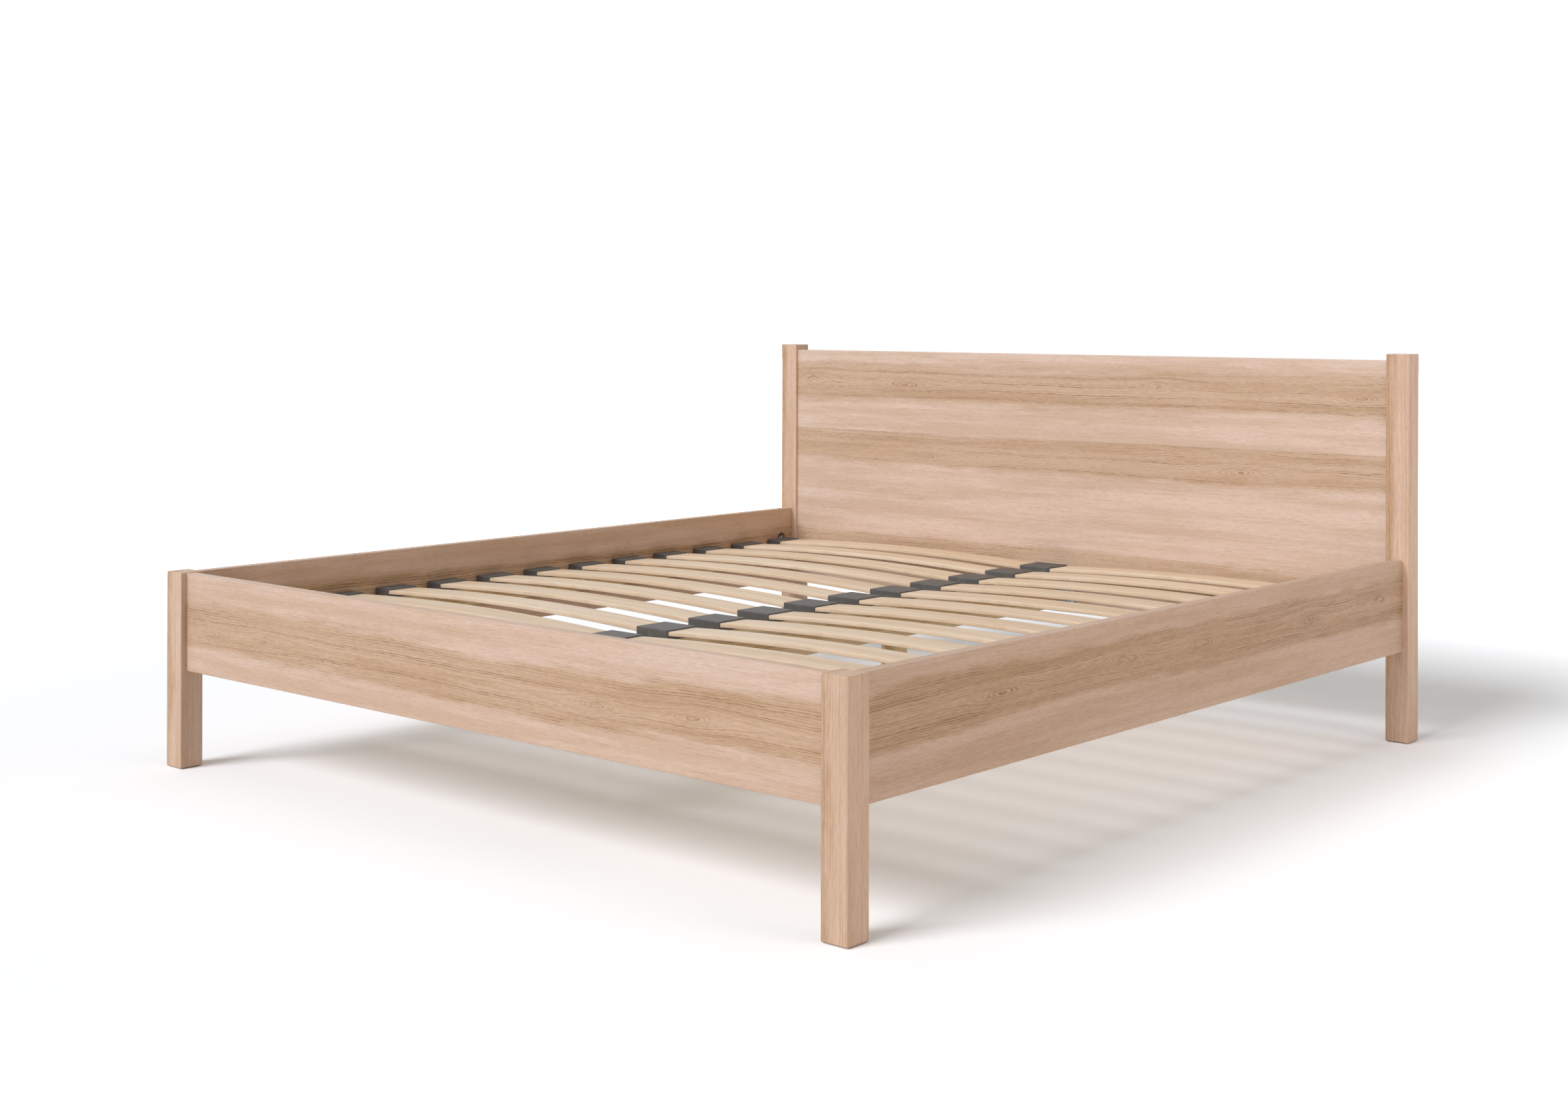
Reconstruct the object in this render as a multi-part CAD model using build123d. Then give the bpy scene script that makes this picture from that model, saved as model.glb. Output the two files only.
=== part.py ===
from build123d import *
import math
import os

# A wooden double bed frame with room for 1800 x 2000 mm between its rails, as separate pieces.
# Millimetres. +X is to the right seen from the foot end, +Y runs to the head, +Z is up.
# The origin is on the floor under the middle of the bed.

# Overall size
overall_width = 1900
overall_length = 2100

# Legs and posts
leg_size = 55
leg_edge_radius = 2.5
leg_foot_chamfer = 1.5
leg_reveal = 2
post_reveal = 15

# Rails
rail_thickness = 25
rail_height = 211
rail_bottom = 211
rail_setback = 14
rail_edge_radius = 2

# Headboard, built up from boards of one height
headboard_top = 881
headboard_thickness = 25
headboard_setback = 7
headboard_boards = ["bottom", "middle", "top"]
board_joint_easing = 0.4

# Glides under the corner legs
glide_thickness = 2
glide_radius = 17
glide_edge_chamfer = 0.8
glide_peg_radius = 4
glide_peg_length = 18

# Dowels
dowel_radius = 5
dowel_length = 56
dowel_chamfer = 1
dowel_edge_distance = 45
fastener_stagger = 20
board_dowel_count = 5
board_dowel_end_distance = 200

# Threaded studs of the corner joints, with inserts, half-moon washers and nuts
stud_radius = 4
stud_in_leg = 22
stud_past_nut = 5
insert_radius = 7
insert_length = 20
pocket_radius = 17
pocket_from_end = 45
pocket_past_stud = 8.5
washer_chord = 10
washer_above_stud = 7
nut_width = 13
nut_height = 6.5
nut_chamfer = 0.8

# Wood screws
screw_radius = 2.1
screw_point_length = 5
screw_head_radius = 4.4
screw_head_height = 2.6
screw_dome_radius = 1.2
screw_slot_length = 5
screw_slot_width = 1.1
screw_slot_depth = 1.4

# Ledger strips
ledger_width = 30
ledger_height = 45
ledger_end_room = 2
ledger_edge_radius = 2
ledger_screw_count = 8
ledger_screw_end_distance = 70
ledger_screw_bite = 16

# Centre beam and its hangers
beam_width = 50
beam_height = 90
beam_edge_radius = 2
beam_end_room = 1
hanger_sheet = 2.5
hanger_depth = 50
hanger_height = 80
hanger_ear_width = 24
hanger_lip_radius = 12
hanger_ear_radius = 6
hanger_screw_count = 3
hanger_screw_end_distance = 13
hanger_screw_bite = 15

# Centre legs and their levelling feet
centre_leg_size = 45
centre_leg_offset = 300
centre_leg_bottom = 35
centre_leg_edge_radius = 2
pad_radius = 21
pad_rim_height = 4
pad_height = 12
pad_top_radius = 12
pad_edge_radius = 1
spindle_radius = 5
spindle_reach = 43
spindle_chamfer = 1
spindle_seat_radius = 6.2
spindle_seat_depth = 6
spindle_hex_width = 17
spindle_hex_height = 6
bush_radius = 8
bush_length = 20
bush_flange_radius = 12
bush_flange_height = 1.5
levelling_travel = 12

# Sprung slats and their caps
slats_per_side = 13
slat_width = 80
slat_thickness = 9
slat_rise = 14
slat_edge_radius = 2
slat_end_margin = 72
slat_top_inset = 75
cap_wall = 3
cap_base = 6
cap_grip = 42
cap_edge_radius = 2.5
cap_rail_room = 2
cap_peg_radius = 5
cap_peg_length = 14
cap_peg_spacing = 44
twin_cap_web = 6

# Clearances
hole_clearance = 0.15
hole_end_room = 2
beam_side_room = 0.3
slat_clearance = 0.3
foot_clearance = 0.3

# Places that follow from the sizes above
half_width = overall_width / 2
half_length = overall_length / 2
leg_inner_x = half_width - leg_size
leg_inner_y = half_length - leg_size
rail_top = rail_bottom + rail_height
rail_middle = rail_setback + rail_thickness / 2
rail_inner_x = half_width - rail_setback - rail_thickness
foot_inner_y = -half_length + rail_setback + rail_thickness
headboard_front_y = leg_inner_y + headboard_setback
headboard_back_y = headboard_front_y + headboard_thickness
board_height = (headboard_top - rail_bottom) / len(headboard_boards)
washer_face = pocket_from_end - washer_chord
stud_end = washer_face + nut_height + stud_past_nut
seat_top = rail_top - slat_top_inset - slat_rise - slat_thickness - cap_base
ledger_inner_x = rail_inner_x - ledger_width
beam_bottom = seat_top - beam_height
slat_outer_x = rail_inner_x - cap_rail_room - cap_wall
slat_inner_x = twin_cap_web / 2
slat_length = slat_outer_x - slat_inner_x
cap_peg_x = rail_inner_x - ledger_width / 2
sides = {"left": -1, "right": 1}
ends = {"foot": -1, "head": 1}


def block(x, y, z):
    """Box between two limits, low and high, on each axis."""
    limits = [sorted(pair) for pair in (x, y, z)]
    middle = [(low + high) / 2 for low, high in limits]
    size = [high - low for low, high in limits]
    return Pos(*middle) * Box(*size)


def rod(radius, start, end):
    """Cylinder along local Z from start to end."""
    return Pos(0, 0, (start + end) / 2) * Cylinder(radius, end - start)


def hexagon(width, start, end):
    """Hexagonal prism along local Z, given its width across flats."""
    outline = RegularPolygon(width / math.sqrt(3), 6)
    return Pos(0, 0, start) * extrude(outline, end - start)


def turned(points):
    """Solid turned about Z from (radius, height) points that start and end on the axis."""
    outline = make_face(Polyline(*points, close=True))
    return revolve(Plane.XZ * outline, Axis.Z)


def spread(low, high, count):
    """Evenly spaced places from low to high, both included."""
    return [low + (high - low) * n / (count - 1) for n in range(count)]


def frame_at(point, toward, along):
    """Frame at a point, with local Z along one direction and local X toward another."""
    return Plane(origin=point, x_dir=toward, z_dir=along).location


def group(solids):
    """Separate solids that share one node."""
    return Compound(children=list(solids))


def save(shape, node):
    """Write one node as a STEP file."""
    export_step(shape, f"parts/{node}.step")


# End joints: each says which plank meets which leg, and holds a frame for each dowel and stud.
# In a frame, local Z runs from the leg into the plank and local X to the face with the pocket.

rail_dowel_heights = [rail_bottom + dowel_edge_distance, rail_top - dowel_edge_distance]
rail_stud_height = rail_bottom + rail_height / 2


def end_joint(plank, leg, x, y, toward, along, dowel_heights, stud_heights):
    """One plank end on one leg."""
    dowels = [frame_at((x, y, height), toward, along) for height in dowel_heights]
    studs = [frame_at((x, y, height), toward, along) for height in stud_heights]
    return {"plank": plank, "leg": leg, "dowels": dowels, "studs": studs}


def foot_rail_joints():
    """Both ends of the foot rail."""
    y = -half_length + rail_middle
    return [
        end_joint("foot_rail", f"leg_foot_{name}", side * leg_inner_x, y, (0, 1, 0), (-side, 0, 0),
                  rail_dowel_heights, [rail_stud_height])
        for name, side in sides.items()
    ]


def side_rail_joints():
    """Both ends of both side rails, raised so that their holes miss those of the other planks."""
    dowels = [height + fastener_stagger for height in rail_dowel_heights]
    studs = [rail_stud_height + fastener_stagger]
    legs = {"foot": "leg_foot", "head": "post_head"}
    return [
        end_joint(f"side_rail_{name}", f"{legs[place]}_{name}", side * (half_width - rail_middle),
                  end * leg_inner_y, (-side, 0, 0), (0, -end, 0), dowels, studs)
        for name, side in sides.items()
        for place, end in ends.items()
    ]


def board_joints(number, board):
    """Both ends of one headboard board. The lowest lines up with the foot rail's fasteners."""
    bottom = rail_bottom + number * board_height
    top = bottom + board_height
    dowels = [bottom + dowel_edge_distance, top - dowel_edge_distance]
    studs = [(bottom + top) / 2]
    if number == 0:
        dowels = rail_dowel_heights
        studs = [rail_stud_height]
    y = (headboard_front_y + headboard_back_y) / 2
    return [
        end_joint(f"headboard_board_{board}", f"post_head_{name}", side * leg_inner_x, y,
                  (0, 1, 0), (-side, 0, 0), dowels, studs)
        for name, side in sides.items()
    ]


joints = foot_rail_joints() + side_rail_joints()
for number, board in enumerate(headboard_boards):
    joints += board_joints(number, board)

# Upright dowels between the headboard boards, and the studs that hold the centre legs to the beam
board_dowel_x = spread(-leg_inner_x + board_dowel_end_distance, leg_inner_x - board_dowel_end_distance,
                       board_dowel_count)
board_dowel_frames = [
    Pos(x, (headboard_front_y + headboard_back_y) / 2, rail_bottom + number * board_height)
    for number in range(1, len(headboard_boards))
    for x in board_dowel_x
]
centre_leg_frames = {place: Pos(0, end * centre_leg_offset, beam_bottom) for place, end in ends.items()}


# Fasteners of the end joints, in their own frames


def dowel():
    """Wooden dowel, half in each piece."""
    pin = rod(dowel_radius, -dowel_length / 2, dowel_length / 2)
    return chamfer(pin.edges().filter_by(GeomType.CIRCLE), dowel_chamfer)


def dowel_hole():
    """Room for a dowel in both pieces."""
    reach = dowel_length / 2 + hole_end_room
    return rod(dowel_radius + hole_clearance, -reach, reach)


def stud():
    """Threaded stud from the leg's insert to just past the nut."""
    return rod(stud_radius, -stud_in_leg, stud_end)


def stud_insert():
    """Threaded insert, flush with the leg's face."""
    bore = rod(stud_radius + hole_clearance, -insert_length, 0)
    return rod(insert_radius, -insert_length, 0) - bore


def insert_hole():
    """Hole in the leg for the insert and the end of the stud."""
    return rod(insert_radius + hole_clearance, -stud_in_leg - hole_end_room, 0)


def stud_hole():
    """Hole in the plank's end for the stud."""
    return rod(stud_radius + hole_clearance, 0, pocket_from_end)


def pocket(thickness):
    """Round pocket from the plank's hidden face, past the stud."""
    height = pocket_past_stud + thickness / 2
    middle = (thickness / 2 - pocket_past_stud) / 2
    return Pos(middle, 0, pocket_from_end) * Rot(0, 90, 0) * Cylinder(pocket_radius, height)


def half_moon_washer():
    """Half-moon washer against the pocket's wall, with a flat face for the nut."""
    low = -pocket_past_stud
    radius = pocket_radius - hole_clearance
    disc = Rot(0, 90, 0) * Cylinder(radius, washer_above_stud - low)
    disc = Pos((washer_above_stud + low) / 2, 0, pocket_from_end) * disc
    beyond = block((low, washer_above_stud), (-radius, radius), (washer_face, pocket_from_end + radius))
    return disc - beyond - stud_hole()


def stud_nut():
    """Hexagonal nut on the half-moon washer's flat face."""
    corner_radius = nut_width / math.sqrt(3)
    round_bar = rod(corner_radius, washer_face, washer_face + nut_height)
    envelope = chamfer(round_bar.edges().filter_by(GeomType.CIRCLE), nut_chamfer)
    return (hexagon(nut_width, washer_face, washer_face + nut_height) & envelope) - stud_hole()


def leg_holes(leg):
    """All dowel and insert holes of one leg."""
    mine = [joint for joint in joints if joint["leg"] == leg]
    holes = [place * dowel_hole() for joint in mine for place in joint["dowels"]]
    return holes + [place * insert_hole() for joint in mine for place in joint["studs"]]


def plank_holes(plank, thickness):
    """All dowel holes, stud holes and pockets of one plank."""
    mine = [joint for joint in joints if joint["plank"] == plank]
    holes = [place * dowel_hole() for joint in mine for place in joint["dowels"]]
    for joint in mine:
        for place in joint["studs"]:
            holes += [place * stud_hole(), place * pocket(thickness)]
    return holes


# Wood screws: local Z is the way they are driven, and the head's seat is at zero


def screw_recess(top):
    """Cross recess in a screw head whose top is at the given height."""
    long, short = screw_slot_length / 2, screw_slot_width / 2
    depth = (top, top + screw_slot_depth)
    return block((-long, long), (-short, short), depth) + block((-short, short), (-long, long), depth)


def screw_shank(length):
    """Shank with a point, from zero to the given length."""
    shoulder = length - screw_point_length
    return turned([(0, 0), (screw_radius, 0), (screw_radius, shoulder), (0, length)])


def flush_screw(length):
    """Countersunk screw, its head's top at zero."""
    head = turned([(0, 0), (screw_head_radius, 0), (screw_radius, screw_head_height), (0, screw_head_height)])
    return screw_shank(length) + head - screw_recess(0)


def flush_screw_hole(length):
    """Room for a countersunk screw."""
    sink_radius = screw_head_radius + hole_clearance
    sink = turned([(0, 0), (sink_radius, 0), (screw_radius + hole_clearance, screw_head_height),
                   (0, screw_head_height)])
    return rod(screw_radius + hole_clearance, 0, length + hole_end_room) + sink


def dome_screw(length):
    """Screw with a domed head on the surface."""
    head = rod(screw_head_radius, -screw_head_height, 0)
    head = fillet(head.edges().filter_by(GeomType.CIRCLE).sort_by(Axis.Z)[:1], screw_dome_radius)
    return screw_shank(length) + head - screw_recess(-screw_head_height)


def dome_screw_hole(length):
    """Hole for a domed screw's shank."""
    return rod(screw_radius + hole_clearance, 0, length + hole_end_room)


ledger_screw_length = ledger_width + ledger_screw_bite
ledger_end_y = leg_inner_y - ledger_end_room
ledger_last_screw_y = ledger_end_y - ledger_screw_end_distance
ledger_screw_rows = spread(-ledger_last_screw_y, ledger_last_screw_y, ledger_screw_count)
ledger_screw_frames = {
    name: [
        frame_at((side * ledger_inner_x, y, seat_top - ledger_height / 2), (0, 1, 0), (side, 0, 0))
        for y in ledger_screw_rows
    ]
    for name, side in sides.items()
}

hanger_screw_length = hanger_sheet + hanger_screw_bite
hanger_bottom = beam_bottom - hanger_sheet
hanger_cheek_x = beam_width / 2 + beam_side_room
hanger_screw_x = hanger_cheek_x + hanger_sheet + hanger_ear_width / 2
hanger_screw_heights = spread(hanger_bottom + hanger_screw_end_distance,
                              hanger_bottom + hanger_height - hanger_screw_end_distance, hanger_screw_count)
hanger_places = {"foot": Pos(0, foot_inner_y, 0), "head": Pos(0, headboard_front_y, 0) * Rot(0, 0, 180)}
hanger_screw_frames = {
    place: [
        where * frame_at((side * hanger_screw_x, hanger_sheet, height), (1, 0, 0), (0, -1, 0))
        for side in sides.values()
        for height in hanger_screw_heights
    ]
    for place, where in hanger_places.items()
}


# Legs, rails and headboard


def glide_peg(clearance, end_room):
    """Peg of a glide, or its hole when given a clearance."""
    return rod(glide_peg_radius + clearance, glide_thickness, glide_thickness + glide_peg_length + end_room)


def corner_leg(leg, side, end, height):
    """Square leg with rounded edges, standing on its glide."""
    x = (side * leg_inner_x, side * half_width)
    y = (end * leg_inner_y, end * half_length)
    body = block(x, y, (glide_thickness, height))
    body = fillet(body.edges().filter_by(Axis.Z) + body.edges().group_by(Axis.Z)[-1], leg_edge_radius)
    body = chamfer(body.faces().sort_by(Axis.Z)[0].edges(), leg_foot_chamfer)
    peg_hole = leg_middle(side, end) * glide_peg(hole_clearance, hole_end_room)
    return body - leg_holes(leg) - peg_hole


def leg_middle(side, end):
    """Place on the floor under the middle of a corner leg."""
    return Pos(side * (half_width - leg_size / 2), end * (half_length - leg_size / 2), 0)


def glide():
    """Round glide with a peg."""
    disc = rod(glide_radius, 0, glide_thickness)
    disc = chamfer(disc.edges().filter_by(GeomType.CIRCLE).sort_by(Axis.Z)[:1], glide_edge_chamfer)
    return disc + glide_peg(0, 0)


def foot_rail():
    """Foot rail between the foot legs."""
    y = -half_length + rail_setback
    body = block((-leg_inner_x, leg_inner_x), (y, y + rail_thickness), (rail_bottom, rail_top))
    body = fillet(body.edges().filter_by(Axis.X), rail_edge_radius)
    pilots = [place * dome_screw_hole(hanger_screw_length) for place in hanger_screw_frames["foot"]]
    return body - plank_holes("foot_rail", rail_thickness) - pilots


def side_rail(name, side):
    """Side rail between a foot leg and a head post."""
    x = side * (half_width - rail_setback)
    body = block((x, side * rail_inner_x), (-leg_inner_y, leg_inner_y), (rail_bottom, rail_top))
    body = fillet(body.edges().filter_by(Axis.Y), rail_edge_radius)
    pilots = [place * flush_screw_hole(ledger_screw_length) for place in ledger_screw_frames[name]]
    return body - plank_holes(f"side_rail_{name}", rail_thickness) - pilots


def headboard_board(number, board):
    """One headboard board, rounded where its edge is free and eased where it meets the next board."""
    bottom = rail_bottom + number * board_height
    body = block((-leg_inner_x, leg_inner_x), (headboard_front_y, headboard_back_y),
                 (bottom, bottom + board_height))
    lowest, highest = body.edges().filter_by(Axis.X).group_by(Axis.Z)
    for edges, is_free in ((lowest, number == 0), (highest, number == len(headboard_boards) - 1)):
        if is_free:
            body = fillet(edges, rail_edge_radius)
        else:
            body = chamfer(edges, board_joint_easing)
    holes = plank_holes(f"headboard_board_{board}", headboard_thickness)
    holes += [place * dowel_hole() for place in board_dowel_frames]
    if number == 0:
        holes += [place * dome_screw_hole(hanger_screw_length) for place in hanger_screw_frames["head"]]
    return body - holes


# Slat support


def cap_pegs(radius, length, x):
    """Two pegs below the seat, one each side of a slat's middle line."""
    peg = rod(radius, seat_top - length, seat_top)
    return [Pos(x, row, 0) * peg for row in (-cap_peg_spacing / 2, cap_peg_spacing / 2)]


slat_rows = spread(foot_inner_y + slat_end_margin, headboard_front_y - slat_end_margin, slats_per_side)


def cap_peg_holes(x):
    """Holes for the pegs of one row of caps."""
    holes = cap_pegs(cap_peg_radius + hole_clearance, cap_peg_length + hole_end_room, x)
    return [Pos(0, row, 0) * hole for row in slat_rows for hole in holes]


def ledger(name, side):
    """Ledger strip on the inside of a side rail."""
    body = block((side * ledger_inner_x, side * rail_inner_x), (-ledger_end_y, ledger_end_y),
                 (seat_top - ledger_height, seat_top))
    inner_edges = body.edges().filter_by(Axis.Y).sort_by(lambda edge: abs(edge.center().X))[:2]
    body = fillet(inner_edges, ledger_edge_radius)
    screws = [place * flush_screw_hole(ledger_screw_length) for place in ledger_screw_frames[name]]
    return body - screws - cap_peg_holes(side * cap_peg_x)


def centre_beam():
    """Beam along the middle of the bed, in a hanger at each end."""
    y = (foot_inner_y + beam_end_room, headboard_front_y - beam_end_room)
    body = block((-beam_width / 2, beam_width / 2), y, (beam_bottom, seat_top))
    body = fillet(body.edges().filter_by(Axis.Y), beam_edge_radius)
    insert_room = rod(insert_radius + hole_clearance, 0, insert_length)
    stud_room = rod(stud_radius + hole_clearance, 0, stud_end + hole_end_room)
    holes = [place * room for place in centre_leg_frames.values() for room in (insert_room, stud_room)]
    return body - holes - cap_peg_holes(0)


def beam_hanger(place):
    """Sheet-steel stirrup that carries one end of the beam, with an ear on each side."""
    outer_x = hanger_cheek_x + hanger_sheet
    height = (hanger_bottom, hanger_bottom + hanger_height)
    body = block((-outer_x, outer_x), (0, hanger_depth), (hanger_bottom, beam_bottom))
    for side in sides.values():
        body += block((side * hanger_cheek_x, side * outer_x), (0, hanger_depth), height)
        body += block((side * hanger_cheek_x, side * (outer_x + hanger_ear_width)), (0, hanger_sheet), height)
    lips = body.edges().filter_by(Axis.X).group_by(Axis.Y)[-1].group_by(Axis.Z)[-1]
    body = fillet(lips, hanger_lip_radius)
    ear_edges = body.edges().filter_by(Axis.Y).sort_by(lambda edge: -abs(edge.center().X))[:4]
    body = fillet(ear_edges, hanger_ear_radius)
    holes = [screw_place * Pos(0, 0, -hole_end_room) * dome_screw_hole(hanger_screw_length + hole_end_room)
             for screw_place in hanger_screw_frames[place]]
    return hanger_places[place] * body - holes


# Centre legs and levelling feet


def centre_leg(place):
    """Square leg under the beam, bored for its levelling bush and spindle."""
    half = centre_leg_size / 2
    row = ends[place] * centre_leg_offset
    body = block((-half, half), (row - half, row + half), (centre_leg_bottom, beam_bottom))
    body = fillet(body.edges().filter_by(Axis.Z), centre_leg_edge_radius)
    bush_room = rod(bush_radius + hole_clearance, centre_leg_bottom, centre_leg_bottom + bush_length)
    spindle_top = centre_leg_bottom + spindle_reach - spindle_gap() + levelling_travel + hole_end_room
    spindle_room = rod(spindle_radius + foot_clearance, centre_leg_bottom, spindle_top)
    return body - centre_leg_frames[place] * insert_hole() - Pos(0, row, 0) * (bush_room + spindle_room)


def spindle_base():
    """Height of the spindle's lower end, in the pad's seat."""
    return pad_height - spindle_seat_depth + foot_clearance


def spindle_hex_top():
    """Height of the top of the spindle's hexagon, from which its thread reaches up."""
    return pad_height + foot_clearance + spindle_hex_height


def spindle_gap():
    """Gap from the spindle's hexagon to the bottom of the centre leg."""
    return centre_leg_bottom - spindle_hex_top()


def levelling_pad():
    """Round pad with a seat for the spindle."""
    outline = [
        (0, 0),
        (pad_radius, 0),
        (pad_radius, pad_rim_height),
        (pad_top_radius, pad_height),
        (0, pad_height),
    ]
    body = turned(outline)
    body = fillet(body.edges().filter_by(GeomType.CIRCLE).group_by(Axis.Z)[1:], pad_edge_radius)
    return body - rod(spindle_seat_radius + foot_clearance, pad_height - spindle_seat_depth, pad_height)


def levelling_spindle():
    """Threaded spindle with a hexagon to turn it by and a plain end in the pad's seat."""
    hex_bottom = pad_height + foot_clearance
    top = spindle_hex_top() + spindle_reach
    body = rod(spindle_seat_radius, spindle_base(), hex_bottom)
    body += hexagon(spindle_hex_width, hex_bottom, spindle_hex_top())
    thread = rod(spindle_radius, spindle_hex_top(), top)
    return body + chamfer(thread.edges().filter_by(GeomType.CIRCLE).sort_by(Axis.Z)[-1:], spindle_chamfer)


def levelling_bush():
    """Flanged bush in the bottom of a centre leg."""
    flange_bottom = centre_leg_bottom - bush_flange_height
    body = rod(bush_radius, centre_leg_bottom, centre_leg_bottom + bush_length)
    body += rod(bush_flange_radius, flange_bottom, centre_leg_bottom)
    return body - rod(spindle_radius + foot_clearance, flange_bottom, centre_leg_bottom + bush_length)


# Slats and caps


def bend_radius():
    """Radius of a slat's underside, from its length and its rise."""
    return ((slat_length / 2) ** 2 + slat_rise ** 2) / (2 * slat_rise)


def bent_strip(section, end_room):
    """Section in the YZ plane, swung about the bend's axis to the length of a slat plus some room."""
    half_angle = math.degrees(math.asin((slat_length / 2 + end_room) / bend_radius()))
    bend_axis = Axis((0, 0, -bend_radius()), (0, 1, 0))
    strip = revolve(Plane.YZ * section, bend_axis, 2 * half_angle)
    strip = strip.rotate(bend_axis, -half_angle)
    return Pos((slat_outer_x + slat_inner_x) / 2, 0, seat_top + cap_base + slat_rise) * strip


def slat():
    """Slat on the right-hand side, in the middle of the bed's length, bent up in its middle."""
    section = Pos(0, slat_thickness / 2) * RectangleRounded(slat_width, slat_thickness, slat_edge_radius)
    return bent_strip(section, 0)


def slat_room():
    """Room for that slat in its caps."""
    section = Rectangle(slat_width + 2 * slat_clearance, slat_thickness + 2 * slat_clearance)
    return bent_strip(Pos(0, slat_thickness / 2) * section, slat_clearance)


def cap_height():
    """Height of a cap, from its seat to over the slat at its mouth."""
    from_middle = slat_length / 2 - cap_grip
    mouth_rise = slat_rise - bend_radius() + math.sqrt(bend_radius() ** 2 - from_middle ** 2)
    return cap_base + mouth_rise + slat_thickness + slat_clearance + cap_wall


def cap_shell(x):
    """Plain rounded cap between two places across the bed."""
    half = slat_width / 2 + slat_clearance + cap_wall
    shell = block(x, (-half, half), (seat_top, seat_top + cap_height()))
    return fillet(shell.edges().filter_by(Axis.Z) + shell.edges().group_by(Axis.Z)[-1], cap_edge_radius)


def side_cap():
    """Cap on the right-hand ledger."""
    shell = cap_shell((slat_outer_x - cap_grip, slat_outer_x + cap_wall))
    return shell - slat_room() + cap_pegs(cap_peg_radius, cap_peg_length, cap_peg_x)


def twin_cap():
    """Cap on the centre beam that holds a slat on each side."""
    reach = slat_inner_x + cap_grip
    shell = cap_shell((-reach, reach)) - slat_room() - mirror(slat_room(), about=Plane.YZ)
    return shell + cap_pegs(cap_peg_radius, cap_peg_length, 0)


def rows_of(shape):
    """Copies of a shape, one on each slat row."""
    return [Pos(0, row, 0) * shape for row in slat_rows]


# Write every node

os.makedirs("parts", exist_ok=True)

for name, side in sides.items():
    foot_leg = f"leg_foot_{name}"
    head_post = f"post_head_{name}"
    save(corner_leg(foot_leg, side, ends["foot"], rail_top + leg_reveal), foot_leg)
    save(corner_leg(head_post, side, ends["head"], headboard_top + post_reveal), head_post)
    save(side_rail(name, side), f"side_rail_{name}")
    save(ledger(name, side), f"ledger_{name}")

save(foot_rail(), "foot_rail")
for number, board in enumerate(headboard_boards):
    save(headboard_board(number, board), f"headboard_board_{board}")
save(centre_beam(), "centre_beam")

for place, end in ends.items():
    on_row = Pos(0, end * centre_leg_offset, 0)
    save(beam_hanger(place), f"beam_hanger_{place}")
    save(centre_leg(place), f"centre_leg_{place}")
    save(on_row * levelling_pad(), f"levelling_pad_{place}")
    save(on_row * levelling_spindle(), f"levelling_spindle_{place}")

dowel_frames = [place for joint in joints for place in joint["dowels"]] + board_dowel_frames
stud_frames = [place for joint in joints for place in joint["studs"]]
all_stud_frames = stud_frames + list(centre_leg_frames.values())
beam_insert_frames = [place * Pos(0, 0, insert_length) for place in centre_leg_frames.values()]

save(group(place * dowel() for place in dowel_frames), "joint_dowels")
save(group(place * stud() for place in all_stud_frames), "joint_studs")
save(group(place * stud_insert() for place in all_stud_frames + beam_insert_frames), "stud_inserts")
save(group(place * half_moon_washer() for place in stud_frames), "half_moon_washers")
save(group(place * stud_nut() for place in stud_frames), "stud_nuts")
save(group(place * flush_screw(ledger_screw_length) for places in ledger_screw_frames.values()
           for place in places), "ledger_screws")
save(group(place * dome_screw(hanger_screw_length) for places in hanger_screw_frames.values()
           for place in places), "hanger_screws")
glides = group(leg_middle(side, end) * glide() for side in sides.values() for end in ends.values())
save(glides, "leg_glides")
bushes = group(Pos(0, end * centre_leg_offset, 0) * levelling_bush() for end in ends.values())
save(bushes, "levelling_bushes")

save(group(rows_of(side_cap())), "slat_caps_right")
save(group(rows_of(mirror(side_cap(), about=Plane.YZ))), "slat_caps_left")
save(group(rows_of(twin_cap())), "slat_caps_centre")
for number, one in enumerate(rows_of(slat()), start=1):
    save(one, f"slat_right_{number:02d}")
for number, one in enumerate(rows_of(mirror(slat(), about=Plane.YZ)), start=1):
    save(one, f"slat_left_{number:02d}")
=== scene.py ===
"""Studio scene of a wooden double bed frame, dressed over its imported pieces."""

import logging
import math
from collections.abc import Callable, Iterable, Sequence
from dataclasses import dataclass, replace
from enum import Enum
from typing import NamedTuple

import bmesh
import bpy
from mathutils import Matrix, Vector


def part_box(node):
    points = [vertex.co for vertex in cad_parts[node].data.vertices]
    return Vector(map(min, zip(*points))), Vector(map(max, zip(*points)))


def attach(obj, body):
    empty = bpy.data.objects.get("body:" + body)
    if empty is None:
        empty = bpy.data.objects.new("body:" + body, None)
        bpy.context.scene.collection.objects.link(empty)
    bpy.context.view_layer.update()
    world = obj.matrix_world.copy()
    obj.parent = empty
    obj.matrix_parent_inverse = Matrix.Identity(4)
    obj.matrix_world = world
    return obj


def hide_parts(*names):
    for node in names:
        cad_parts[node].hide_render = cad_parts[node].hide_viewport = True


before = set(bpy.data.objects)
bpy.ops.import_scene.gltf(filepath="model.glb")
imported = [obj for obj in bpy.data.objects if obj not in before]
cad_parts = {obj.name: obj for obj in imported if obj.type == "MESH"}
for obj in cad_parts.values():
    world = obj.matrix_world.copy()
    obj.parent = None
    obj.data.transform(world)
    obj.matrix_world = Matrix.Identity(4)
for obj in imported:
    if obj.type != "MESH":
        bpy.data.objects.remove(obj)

Colour = tuple[float, float, float, float]
Point = tuple[float, float, float]
Socket = bpy.types.NodeSocket
Feed = Socket | float | Sequence[float]
Ring = Callable[[float], tuple[float, float]]

WHITE: Colour = (1.0, 1.0, 1.0, 1.0)
QUARTER_TURN = math.pi / 2
BUMP_STRENGTH = 0.5
MERGE_DISTANCE = 1e-6

log = logging.getLogger("bed_frame")


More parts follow.
